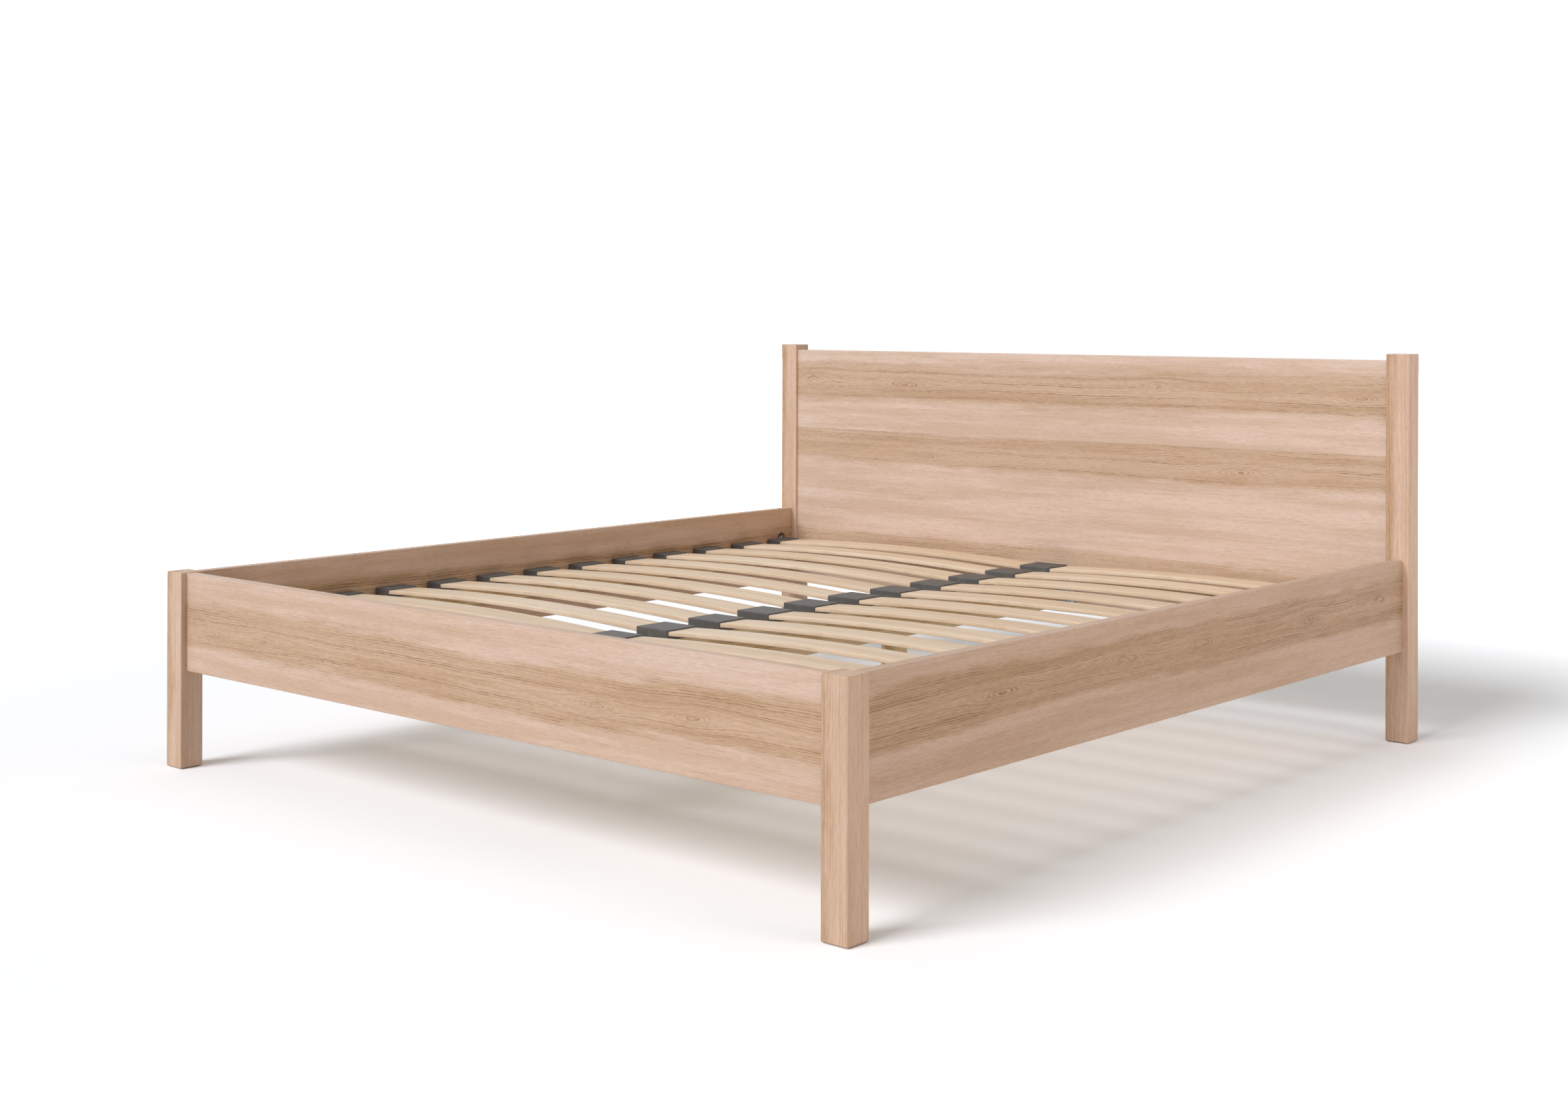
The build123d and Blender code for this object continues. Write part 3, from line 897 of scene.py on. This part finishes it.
@dataclass(frozen=True)
class Thread:
    """Right-hand screw thread along Z, in metres. Land and flank give the shape of a turn."""

    crest: float
    root: float
    pitch: float
    rings_per_turn: int
    land: float = 1.35
    flank: float = 2.9

    def rings(self, start: float, end: float) -> list[Ring]:
        """Rings from one height to another, run out to the root at both.

        Args:
            start: Lowest height.
            end: Highest height.

        Returns:
            The rings, from start to end.
        """
        count = max(2, round((end - start) / self.pitch * self.rings_per_turn))
        rings = []
        for step in range(count + 1):
            height = start + (end - start) * step / count
            lead = clamped(min(height - start, end - height) / self.pitch)
            rings.append(self._ring(height, lead))
        return rings

    def _ring(self, height: float, lead: float) -> Ring:
        """Ring at a height, with the share of the thread that stands there."""

        def at(angle: float) -> tuple[float, float]:
            """Radius and height at an angle."""
            phase = (height / self.pitch - angle / (2 * math.pi)) % 1.0
            rise = clamped(self.land - self.flank * abs(phase - 0.5))
            return (self.root + (self.crest - self.root) * rise * lead, height)

        return at


@dataclass
class Repeat:
    """Copies of one source mesh on many places, made with geometry nodes into one plain mesh."""

    name: str
    source: bpy.types.Mesh
    places: Sequence[Point]
    turns: Sequence[Point]
    finish: bpy.types.Material
    seed: int = 11

    def build(self) -> bpy.types.Object:
        """Make the finished piece.

        Returns:
            One object with all copies.
        """
        source = new_object(f"{self.name}_source", self.source)
        holder_mesh = bpy.data.meshes.new(f"{self.name}_places")
        holder_mesh.from_pydata([tuple(place) for place in self.places], [], [])
        turns = holder_mesh.attributes.new("turn", "FLOAT_VECTOR", "POINT")
        turns.data.foreach_set("vector", [part for turn in self.turns for part in turn])
        holder = new_object(f"{self.name}_holder", holder_mesh)

        tree = self._tree()
        modifier = holder.modifiers.new("repeat", "NODES")
        modifier.node_group = tree
        inputs = {item.name: item.identifier for item in tree.interface.items_tree if item.in_out == "INPUT"}
        modifier[inputs["Piece"]] = source
        modifier[inputs["Finish"]] = self.finish
        modifier[inputs["Seed"]] = self.seed
        holder.update_tag()
        depsgraph = bpy.context.evaluated_depsgraph_get()
        mesh = bpy.data.meshes.new_from_object(holder.evaluated_get(depsgraph), depsgraph=depsgraph)
        mesh.name = self.name
        holder.modifiers.remove(modifier)
        for used in (holder, source):
            bpy.data.objects.remove(used)
        bpy.data.node_groups.remove(tree)
        log.info("repeated %s on %d places", self.name, len(self.places))
        return new_object(self.name, mesh)

    def _tree(self) -> bpy.types.GeometryNodeTree:
        """Tree that puts the piece on each point, turned, with a seed of its own."""
        tree = bpy.data.node_groups.new(f"{self.name}_tree", "GeometryNodeTree")
        kinds = {"Places": "Geometry", "Piece": "Object", "Finish": "Material", "Seed": "Int"}
        for name, kind in kinds.items():
            tree.interface.new_socket(name, in_out="INPUT", socket_type=f"NodeSocket{kind}")
        tree.interface.new_socket("Geometry", in_out="OUTPUT", socket_type="NodeSocketGeometry")
        graph = Graph(tree)
        given = graph.node("NodeGroupInput")
        result = graph.node("NodeGroupOutput")
        piece = graph.node("GeometryNodeObjectInfo", transform_space="ORIGINAL")
        turn = graph.node("GeometryNodeInputNamedAttribute", data_type="FLOAT_VECTOR")
        turn.inputs["Name"].default_value = "turn"
        rotation = graph.node("FunctionNodeEulerToRotation")
        copies = graph.node("GeometryNodeInstanceOnPoints")
        chance = graph.node("FunctionNodeRandomValue", data_type="FLOAT")
        stored = graph.node("GeometryNodeStoreNamedAttribute", data_type="FLOAT", domain="INSTANCE")
        stored.inputs["Name"].default_value = "piece_seed"
        real = graph.node("GeometryNodeRealizeInstances")
        coated = graph.node("GeometryNodeSetMaterial")
        graph.feed(piece.inputs["Object"], given.outputs["Piece"])
        graph.feed(rotation.inputs[0], turn.outputs[0])
        graph.feed(copies.inputs["Points"], given.outputs["Places"])
        graph.feed(copies.inputs["Instance"], piece.outputs["Geometry"])
        graph.feed(copies.inputs["Rotation"], rotation.outputs[0])
        graph.feed(chance.inputs["Seed"], given.outputs["Seed"])
        graph.feed(stored.inputs["Geometry"], copies.outputs["Instances"])
        graph.feed(stored.inputs["Value"], next(out for out in chance.outputs if out.enabled))
        graph.feed(real.inputs["Geometry"], stored.outputs["Geometry"])
        graph.feed(coated.inputs["Geometry"], real.outputs["Geometry"])
        graph.feed(coated.inputs["Material"], given.outputs["Finish"])
        graph.feed(result.inputs["Geometry"], coated.outputs["Geometry"])
        return tree


def settle(piece: bpy.types.Object, body: str, slot: Slot, nodes: Iterable[str]) -> None:
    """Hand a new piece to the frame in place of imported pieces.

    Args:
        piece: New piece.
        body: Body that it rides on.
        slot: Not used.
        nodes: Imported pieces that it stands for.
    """
    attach(piece, body)
    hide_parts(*nodes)
    log.info("%s rides on %s", piece.name, body)


FRAME_WOOD = WoodFinish(
    pale=srgb(213, 186, 167),
    warm=srgb(201, 171, 147),
    heart=srgb(197, 165, 137),
    streak=srgb(181, 147, 113),
    line=srgb(138, 104, 73),
)
SIDE_WOOD = replace(FRAME_WOOD, lines=Shares(0.22, 1.95))
LEG_WOOD = WoodFinish(
    pale=srgb(213, 184, 162),
    warm=srgb(203, 171, 146),
    heart=srgb(195, 160, 131),
    streak=srgb(178, 143, 109),
    line=srgb(142, 106, 76),
    lines=Shares(0.52, 0.95),
)
HEADBOARD_WOOD = WoodFinish(
    pale=srgb(217, 193, 176),
    warm=srgb(204, 178, 156),
    heart=srgb(198, 169, 143),
    streak=srgb(182, 150, 120),
    line=srgb(140, 107, 79),
)
SUPPORT_WOOD = WoodFinish(
    pale=srgb(231, 212, 176),
    warm=srgb(222, 197, 156),
    heart=srgb(212, 180, 134),
    streak=srgb(198, 160, 112),
    line=srgb(158, 116, 72),
    lines=Shares(0.54, 0.75),
    roughness=0.54,
)
SLAT_WOOD = SlatFinish(pale=srgb(229, 210, 184), warm=srgb(215, 189, 158), glue=srgb(160, 124, 90))
CAP_RUBBER = MouldedFinish(colour=srgb(74, 72, 70), scuff=srgb(104, 101, 98))
FOOT_PLASTIC = MouldedFinish(colour=srgb(58, 57, 56), scuff=srgb(88, 86, 84), roughness=0.38)
ZINC_STEEL = SteelFinish(colour=srgb(222, 221, 214), dull=srgb(182, 182, 178))
SHEET_STEEL = SteelFinish(
    colour=srgb(214, 216, 219),
    dull=srgb(168, 171, 176),
    flake_rate=120.0,
    roughness=0.32,
)


@dataclass
class MainFrame:
    """Legs, posts, rails and headboard, all of the frame wood."""

    legs: tuple[str, ...] = ("leg_foot_left", "leg_foot_right", "post_head_left", "post_head_right")
    leg_seed: float = 23.1
    leg_seed_step: float = 3.7
    # Painted shade: darker tint for the plank whose side stands in shade
    painted_shade: Colour = (0.88, 0.86, 0.83, 1.0)
    board_fade: float = 0.020

    def build(self) -> None:
        """Dress every rail, board and leg with its own cut of wood."""
        self._rails()
        self._boards()
        for number, node in enumerate(self.legs):
            seed = self.leg_seed + self.leg_seed_step * number
            self._plank(LEG_WOOD, node, UPRIGHT, seed, heart_middle=-0.030, heart_half=0.016,
                        pith_across=0.036, pith_depth=0.016, ring=0.0060, wander=0.010)

    def _rails(self) -> None:
        """Dress the foot rail and the side rails."""
        self._plank(FRAME_WOOD, "foot_rail", ACROSS_BED, 1.3, heart_middle=-0.004, heart_half=0.046,
                    pith_across=-0.010, lean=0.3,
                    knots=(Knot(-0.805, -0.012), Knot(-0.610, -0.010), Knot(0.375, -0.010),
                           Knot(0.605, -0.004)))
        # The right side rail carries painted shade through its tint
        self._plank(SIDE_WOOD, "side_rail_right", ALONG_BED, 4.7, heart_middle=0.021, heart_half=0.046,
                    pith_across=0.018, pith_depth=-0.005, tint=self.painted_shade,
                    knots=(Knot(-0.610, 0.020), Knot(-0.205, 0.032, 0.060), Knot(0.075, 0.026),
                           Knot(0.535, 0.020), Knot(0.875, 0.032)))
        self._plank(SIDE_WOOD, "side_rail_left", ALONG_BED, 8.2, heart_middle=-0.008, pith_across=-0.01,
                    knots=(Knot(0.3, 0.0), Knot(-0.52, -0.016)))

    def _boards(self) -> None:
        """Dress the boards of the headboard."""
        self._plank(HEADBOARD_WOOD, "headboard_board_top", ACROSS_BED, 11.9, heart_middle=0.021,
                    heart_half=0.048, pith_across=0.018, heart_fade=self.board_fade,
                    knots=(Knot(-0.835, 0.034), Knot(-0.505, 0.020, 0.050), Knot(0.295, 0.034, 0.026),
                           Knot(0.835, 0.020)))
        self._plank(HEADBOARD_WOOD, "headboard_board_middle", ACROSS_BED, 15.4, heart_middle=0.068,
                    heart_half=0.044, pith_across=0.05, heart_fade=self.board_fade,
                    knots=(Knot(-0.42, 0.05), Knot(0.52, 0.056)))
        self._plank(HEADBOARD_WOOD, "headboard_board_bottom", ACROSS_BED, 19.8, heart_middle=-0.006,
                    heart_fade=self.board_fade, knots=(Knot(0.24, 0.0), Knot(-0.7, 0.006)))

    @staticmethod
    def _plank(finish: WoodFinish, node: str, axes: Axes, seed: float, **cut: object) -> None:
        """Dress one piece of wood with its own cut.

        Args:
            finish: Kind of wood.
            node: Name of the piece.
            axes: Its axes along the grain, across it and through.
            seed: Number that sets its figure apart.
            **cut: Other values of its grain.
        """
        dress(node, finish.material(f"{node}_wood", Grain(middle_of(node), axes, seed, **cut)))


@dataclass
class SlatBase:
    """Ledgers, centre beam, sprung slats and their caps, in metres."""

    wood: tuple[str, ...] = ("ledger_left", "ledger_right", "centre_beam")
    caps: tuple[str, ...] = ("slat_caps_left", "slat_caps_right", "slat_caps_centre")
    seed: float = 41.0
    seed_step: float = 5.3
    slat_width: float = 0.080
    slat_thickness: float = 0.009
    slat_rise: float = 0.014
    slat_edge: float = 0.002
    slat_steps: int = 36
    edge_steps: int = 4
    end_room: float = 0.0005

    def build(self) -> None:
        """Dress the wood and caps, and lay the slats."""
        for number, node in enumerate(self.wood):
            grain = Grain(middle_of(node), ALONG_BED, self.seed + self.seed_step * number, heart_half=0.018,
                          pith_across=0.05, pith_depth=0.07, ring=0.0042, wander=0.010)
            dress(node, SUPPORT_WOOD.material(f"{node}_wood", grain))
        rubber = CAP_RUBBER.material("slat_cap_rubber")
        for node in self.caps:
            dress(node, rubber)
        nodes = sorted(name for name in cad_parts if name.startswith(("slat_left_", "slat_right_")))
        low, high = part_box(nodes[0])
        places = []
        for node in nodes:
            middle = middle_of(node)
            places.append((middle[0], middle[1], high.z))
        source = self._slat((high.x - low.x) / 2)
        slats = Repeat("sprung_slats", source, places, [(0.0, 0.0, 0.0)] * len(places),
                       SLAT_WOOD.material("slat_wood_layers")).build()
        settle(slats, "frame", Slot.SLAT, nodes)

    def _section(self) -> list[tuple[float, float]]:
        """Rounded outline of a slat, as places across and down from its top."""
        edge = self.slat_edge
        side, top, bottom = self.slat_width / 2 - edge, -edge, edge - self.slat_thickness
        points = []
        corners = ((side, top), (-side, top), (-side, bottom), (side, bottom))
        for number, (across, down) in enumerate(corners):
            for step in range(self.edge_steps + 1):
                angle = QUARTER_TURN * (number + step / self.edge_steps)
                points.append((across + edge * math.cos(angle), down + edge * math.sin(angle)))
        return points

    def _slat(self, half_length: float) -> bpy.types.Mesh:
        """Bent slat with its crown's top at the origin.

        Args:
            half_length: Half of its length across the bed.

        Returns:
            The mesh, which carries the height in the glued layers from 0 to 1.
        """
        half_chord = half_length - self.end_room
        outer = (half_chord ** 2 + self.slat_rise ** 2) / (2 * self.slat_rise) + self.slat_thickness
        reach = math.asin(half_length / outer)
        section = self._section()
        shape = bmesh.new()
        layer = shape.verts.layers.float.new("layer_height")
        rows = []
        for step in range(self.slat_steps + 1):
            angle = reach * (2 * step / self.slat_steps - 1)
            row = []
            for across, down in section:
                radius = outer + down
                vertex = shape.verts.new((radius * math.sin(angle), across, radius * math.cos(angle) - outer))
                vertex[layer] = 1 + down / self.slat_thickness
                row.append(vertex)
            rows.append(row)
        join_rows(shape, rows)
        shape.faces.new(rows[0])
        shape.faces.new(list(reversed(rows[-1])))
        return finish_mesh(shape, "slat_source")


@dataclass
class WoodScrew:
    """Cross-recessed wood screw, in metres, driven along its own Z with the head's top at zero."""

    length: float
    domed: bool = False
    segments: int = 32
    head_radius: float = 0.0044
    head_height: float = 0.0026
    head_rings: int = 20
    rim_cut: float = 0.0002
    rim_height: float = 0.0003
    dome_share: float = 0.75
    dome_power: int = 3
    recess_reach: float = 0.0025
    recess_width: float = 0.00055
    recess_depth: float = 0.0014
    recess_edge: float = 1.25
    recess_wall: float = 0.5
    recess_fall: float = 0.45
    shank_radius: float = 0.0021
    neck_share: float = 0.8
    neck_room: float = 0.0001
    root_share: float = 0.72
    pitch: float = 0.0022
    rings_per_turn: int = 3
    thread_room: float = 0.0008
    point_length: float = 0.005
    tip_length: float = 0.0022
    tip_start_radius: float = 0.0011
    tip_radius: float = 0.0002

    def mesh(self, name: str) -> bpy.types.Mesh:
        """Build the screw.

        Args:
            name: Name of the mesh.

        Returns:
            The mesh.
        """
        shank, count = self.shank_radius, self.head_rings
        thread = Thread(shank, shank * self.root_share, self.pitch, self.rings_per_turn)
        under_head = plain_ring(self.head_radius - self.rim_cut, self.rim_height)
        if self.domed:
            under_head = plain_ring(self.head_radius, self.head_height)
        rings = [
            *(self._top_ring(self.head_radius * step / count) for step in range(1, count + 1)),
            under_head,
            plain_ring(shank * self.neck_share, self.head_height + self.neck_room),
            *thread.rings(self.head_height + self.thread_room, self.length - self.point_length),
            plain_ring(self.tip_start_radius, self.length - self.tip_length),
            plain_ring(self.tip_radius, self.length),
        ]
        return tube(name, rings, self.segments)

    def _top_ring(self, radius: float) -> Ring:
        """Ring on the head's top, sunk where it crosses the recess."""

        def at(angle: float) -> tuple[float, float]:
            """Radius and height at an angle."""
            x, y = abs(radius * math.cos(angle)), abs(radius * math.sin(angle))
            side, reach = min(x, y), max(x, y)
            wall = clamped((self.recess_edge - side / self.recess_width) / self.recess_wall)
            fall = clamped((1.0 - reach / self.recess_reach) / self.recess_fall)
            dome = 0.0
            if self.domed:
                dome = self.head_height * self.dome_share * (radius / self.head_radius) ** self.dome_power
            return (radius, dome + self.recess_depth * wall * fall)

        return at


@dataclass
class Hardware:
    """Hangers, studs, nuts, washers, inserts, dowels and screws, in metres."""

    plated: tuple[str, ...] = ("half_moon_washers", "stud_nuts", "stud_inserts", "levelling_bushes")
    hangers: tuple[str, ...] = ("beam_hanger_foot", "beam_hanger_head")
    dowel_seed: float = 61.0
    stud_radius: float = 0.004
    stud_pitch: float = 0.00125
    stud_bevel: float = 0.0003
    stud_segments: int = 18
    end_share: float = 0.78
    root_share: float = 0.83
    rings_per_turn: int = 4

    def build(self) -> None:
        """Dress the plain metal and the dowels, and repeat what is threaded."""
        zinc = ZINC_STEEL.material("zinc_plate")
        sheet = SHEET_STEEL.material("galvanised_sheet")
        for node in self.plated:
            dress(node, zinc)
        for node in self.hangers:
            dress(node, sheet)
        grain = Grain((0.0, 0.0, 0.0), ACROSS_BED, self.dowel_seed,
                      heart_half=0.001, ring=0.004, wander=0.004)
        dress("joint_dowels", SUPPORT_WOOD.material("dowel_wood_grain", grain))
        self._studs(zinc)
        self._screws("ledger", Axis.X, (0.0, QUARTER_TURN, 0.0), False, zinc)
        self._screws("hanger", Axis.Y, (-QUARTER_TURN, 0.0, 0.0), True, zinc)

    def _studs(self, finish: bpy.types.Material) -> None:
        """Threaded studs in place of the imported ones."""
        along = {Axis.X: (0.0, QUARTER_TURN, 0.0), Axis.Y: (QUARTER_TURN, 0.0, 0.0), Axis.Z: (0.0, 0.0, 0.0)}
        places, turns, half = [], [], 0.0
        for low, high in loose_boxes("joint_studs"):
            size = high - low
            half = max(size) / 2
            places.append(tuple((low + high) / 2))
            turns.append(along[max(Axis, key=lambda axis: size[axis.value])])
        radius = self.stud_radius
        thread = Thread(radius, radius * self.root_share, self.stud_pitch, self.rings_per_turn)
        end_radius = radius * self.end_share
        rings = [
            plain_ring(end_radius, -half),
            *thread.rings(self.stud_bevel - half, half - self.stud_bevel),
            plain_ring(end_radius, half),
        ]
        source = tube("stud_source", rings, self.stud_segments)
        piece = Repeat("threaded_studs", source, places, turns, finish).build()
        settle(piece, "frame", Slot.ZINC, ["joint_studs"])

    @staticmethod
    def _screws(kind: str, axis: Axis, turn: Point, domed: bool, finish: bpy.types.Material) -> None:
        """Cross-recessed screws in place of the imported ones.

        Args:
            kind: What they hold, as in the pieces' names.
            axis: Direction that they are driven in, away from the bed's middle.
            turn: Turn of those on the larger side of that axis.
            domed: Whether their heads are domed.
            finish: Their material.
        """
        places, turns, length = [], [], 0.0
        for low, high in loose_boxes(f"{kind}_screws"):
            near, far = low[axis.value], high[axis.value]
            length = far - near
            outward = near > 0
            head = (low + high) / 2
            head[axis.value] = near if outward else far
            places.append(tuple(head))
            turns.append(turn if outward else tuple(-part for part in turn))
        source = WoodScrew(length, domed).mesh(f"{kind}_screw_source")
        piece = Repeat(f"{kind}_wood_screws", source, places, turns, finish).build()
        settle(piece, "frame", Slot.ZINC, [f"{kind}_screws"])


@dataclass
class CentreLegs:
    """Centre legs, their levelling feet and the glides under the corner legs, in metres."""

    places: tuple[str, ...] = ("foot", "head")
    seed: float = 71.0
    seed_step: float = 4.1
    seat_radius: float = 0.0062
    seat_depth: float = 0.006
    seat_bevel: float = 0.0006
    hex_width: float = 0.017
    hex_height: float = 0.006
    hex_bevel: float = 0.0008
    spindle_radius: float = 0.005
    neck_share: float = 0.8
    neck_room: float = 0.0002
    pitch: float = 0.0015
    root_share: float = 0.81
    rings_per_turn: int = 8
    thread_room: float = 0.0008
    end_room: float = 0.0006
    end_share: float = 0.7
    segments: int = 48

    def build(self) -> None:
        """Dress the legs and feet, and cut threads on the spindles."""
        plastic = FOOT_PLASTIC.material("levelling_plastic")
        zinc = ZINC_STEEL.material("spindle_zinc")
        dress("leg_glides", plastic)
        for number, place in enumerate(self.places):
            node = f"centre_leg_{place}"
            grain = Grain(middle_of(node), UPRIGHT, self.seed + self.seed_step * number, heart_half=0.012,
                          pith_across=0.06, pith_depth=0.08, ring=0.0042, wander=0.006)
            dress(node, SUPPORT_WOOD.material(f"{node}_wood", grain))
            dress(f"levelling_pad_{place}", plastic)
            self._spindle(place, zinc)

    def _spindle(self, place: str, finish: bpy.types.Material) -> None:
        """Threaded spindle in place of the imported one.

        Args:
            place: Which centre leg it belongs to.
            finish: Its material.
        """
        node = f"levelling_spindle_{place}"
        low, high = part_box(node)
        top = high.z - low.z
        hex_bottom, hex_top = self.seat_depth, self.seat_depth + self.hex_height
        flats, corners = self.hex_width / 2, self.hex_width / math.sqrt(3)
        radius = self.spindle_radius
        thread = Thread(radius, radius * self.root_share, self.pitch, self.rings_per_turn)
        rings = [
            plain_ring(self.seat_radius - self.seat_bevel, 0.0),
            plain_ring(self.seat_radius, self.seat_bevel),
            plain_ring(self.seat_radius, self.seat_depth),
            hex_ring(self.hex_width, hex_bottom, flats),
            hex_ring(self.hex_width, hex_bottom + self.hex_bevel, corners),
            hex_ring(self.hex_width, hex_top - self.hex_bevel, corners),
            hex_ring(self.hex_width, hex_top, flats),
            plain_ring(radius * self.neck_share, hex_top + self.neck_room),
            *thread.rings(hex_top + self.thread_room, top - self.end_room),
            plain_ring(radius * self.end_share, top),
        ]
        mesh = tube(f"threaded_spindle_{place}", rings, self.segments)
        mesh.transform(Matrix.Translation(((low.x + high.x) / 2, (low.y + high.y) / 2, low.z)))
        mesh.materials.append(finish)
        piece = new_object(f"threaded_spindle_{place}", mesh)
        settle(piece, f"{place}_spindle", Slot.ZINC, [node])


def hang_lamp(data: bpy.types.Light, colour: Colour, way: Vector) -> bpy.types.Object:
    """Put a lamp in the scene.

    Args:
        data: The lamp's own settings.
        colour: Colour of its light.
        way: Direction that it shines in.

    Returns:
        The lamp.
    """
    data.color = colour[:3]
    lamp = new_object(data.name, data)
    lamp.rotation_mode = "QUATERNION"
    lamp.rotation_quaternion = way.to_track_quat("-Z", "Y")
    log.info("light %s", data.name)
    return lamp


@dataclass(frozen=True)
class SoftLight:
    """Square soft light, in metres and watts."""

    name: str
    position: Point
    target: Point
    size: float
    power: float
    colour: Colour = WHITE

    def build(self) -> None:
        """Add the light."""
        data = bpy.data.lights.new(self.name, "AREA")
        data.shape = "SQUARE"
        data.size = self.size
        data.energy = self.power
        lamp = hang_lamp(data, self.colour, Vector(self.target) - Vector(self.position))
        lamp.location = self.position


@dataclass(frozen=True)
class WideLight:
    """Very far and wide soft light, even over the whole part, in degrees."""

    name: str
    toward: Point
    width: float
    strength: float
    colour: Colour = WHITE

    def build(self) -> None:
        """Add the light."""
        data = bpy.data.lights.new(self.name, "SUN")
        data.angle = math.radians(self.width)
        data.energy = self.strength
        hang_lamp(data, self.colour, Vector(self.toward))


@dataclass(frozen=True)
class PhotoCamera:
    """Camera at the photo's viewing angle, in metres, degrees and millimetres."""

    position: Point = (2.93863, -3.51541, 0.98844)
    yaw: float = 42.002
    roll: float = 0.131
    sensor: float = 36.0
    lens: float = 46.8314
    shift: tuple[float, float] = (0.029403, -0.150802)

    def build(self) -> None:
        """Add the camera and make it the scene's own."""
        data = bpy.data.cameras.new("photo_camera")
        data.sensor_width = self.sensor
        data.sensor_fit = "HORIZONTAL"
        data.lens = self.lens
        data.shift_x, data.shift_y = self.shift
        camera = new_object("photo_camera", data)
        level = Matrix.Rotation(math.radians(self.yaw), 4, "Z") @ Matrix.Rotation(QUARTER_TURN, 4, "X")
        turn = level @ Matrix.Rotation(math.radians(self.roll), 4, "Z")
        camera.matrix_world = Matrix.Translation(self.position) @ turn
        bpy.context.scene.camera = camera


@dataclass
class Studio:
    """White floor and background, soft lights and the camera, in metres."""

    floor_half: float = 30.0
    floor_seen: Colour = (1.17, 1.19, 1.20, 1.0)
    floor_far: Colour = (3.0, 3.0, 3.0, 1.0)
    floor_ease: Ease = Ease(1.9, 5.5)
    floor_bounce: Colour = (0.90, 0.90, 0.90, 1.0)
    ambient: float = 0.32
    lights: tuple[SoftLight | WideLight, ...] = (
        WideLight("key_light", (0.17, 0.80, -0.58), 32.0, 2.30, (0.985, 0.985, 1.03, 1.0)),
        SoftLight("top_light", (-0.4, 0.3, 4.6), (0.0, 0.2, 0.0), 4.5, 28.0),
        SoftLight("side_light", (5.2, 0.2, 0.7), (0.0, 0.2, 0.2), 2.4, 66.0, (1.0, 0.80, 0.63, 1.0)),
    )
    camera: PhotoCamera = PhotoCamera()

    def build(self) -> None:
        """Set up the whole studio."""
        scene = bpy.context.scene
        scene.view_settings.view_transform = "Standard"
        self._world(scene)
        self._floor()
        for light in self.lights:
            light.build()
        self.camera.build()

    @staticmethod
    def _seen(graph: Graph) -> Socket:
        """1 for rays that show the background: straight from the camera, in gloss or through glass."""
        path = graph.node("ShaderNodeLightPath")
        rays = graph.maths("MAXIMUM", path.outputs["Is Camera Ray"], path.outputs["Is Glossy Ray"])
        return graph.maths("MAXIMUM", rays, path.outputs["Is Transmission Ray"])

    def _world(self, scene: bpy.types.Scene) -> None:
        """White where the camera looks past the floor, and an even dim light for the rest."""
        world = bpy.data.worlds.new("studio_world")
        scene.world = world
        world.use_nodes = True
        world.node_tree.nodes.clear()
        graph = Graph(world.node_tree)
        background = graph.node("ShaderNodeBackground")
        background.inputs["Color"].default_value = WHITE
        strength = graph.maths("MULTIPLY_ADD", self._seen(graph), 1.0 - self.ambient, self.ambient)
        graph.feed(background.inputs["Strength"], strength)
        graph.output(background, "ShaderNodeOutputWorld")

    def _floor(self) -> None:
        """Wide pale floor that the camera sees as white where it is lit, with the shadow kept."""
        half = self.floor_half
        corners = [(-half, -half, 0), (half, -half, 0), (half, half, 0), (-half, half, 0)]
        mesh = bpy.data.meshes.new("studio_floor")
        mesh.from_pydata(corners, [], [(0, 1, 2, 3)])
        material, graph = new_material("studio_floor_white")
        away = graph.node("ShaderNodeVectorMath", operation="LENGTH")
        graph.feed(away.inputs[0], graph.place())
        far = graph.step(away.outputs["Value"], self.floor_ease)
        bright = graph.mix(far, self.floor_seen, self.floor_far)
        diffuse = graph.node("ShaderNodeBsdfDiffuse")
        graph.feed(diffuse.inputs["Color"], graph.mix(self._seen(graph), self.floor_bounce, bright))
        graph.output(diffuse)
        mesh.materials.append(material)
        new_object("studio_floor", mesh)


def main() -> None:
    """Build the studio and dress the bed frame."""
    logging.basicConfig(level=logging.INFO, format="%(name)s: %(message)s")
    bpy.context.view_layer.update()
    Studio().build()
    for assembly in (MainFrame(), SlatBase(), Hardware(), CentreLegs()):
        assembly.build()


if __name__ == "__main__":
    main()
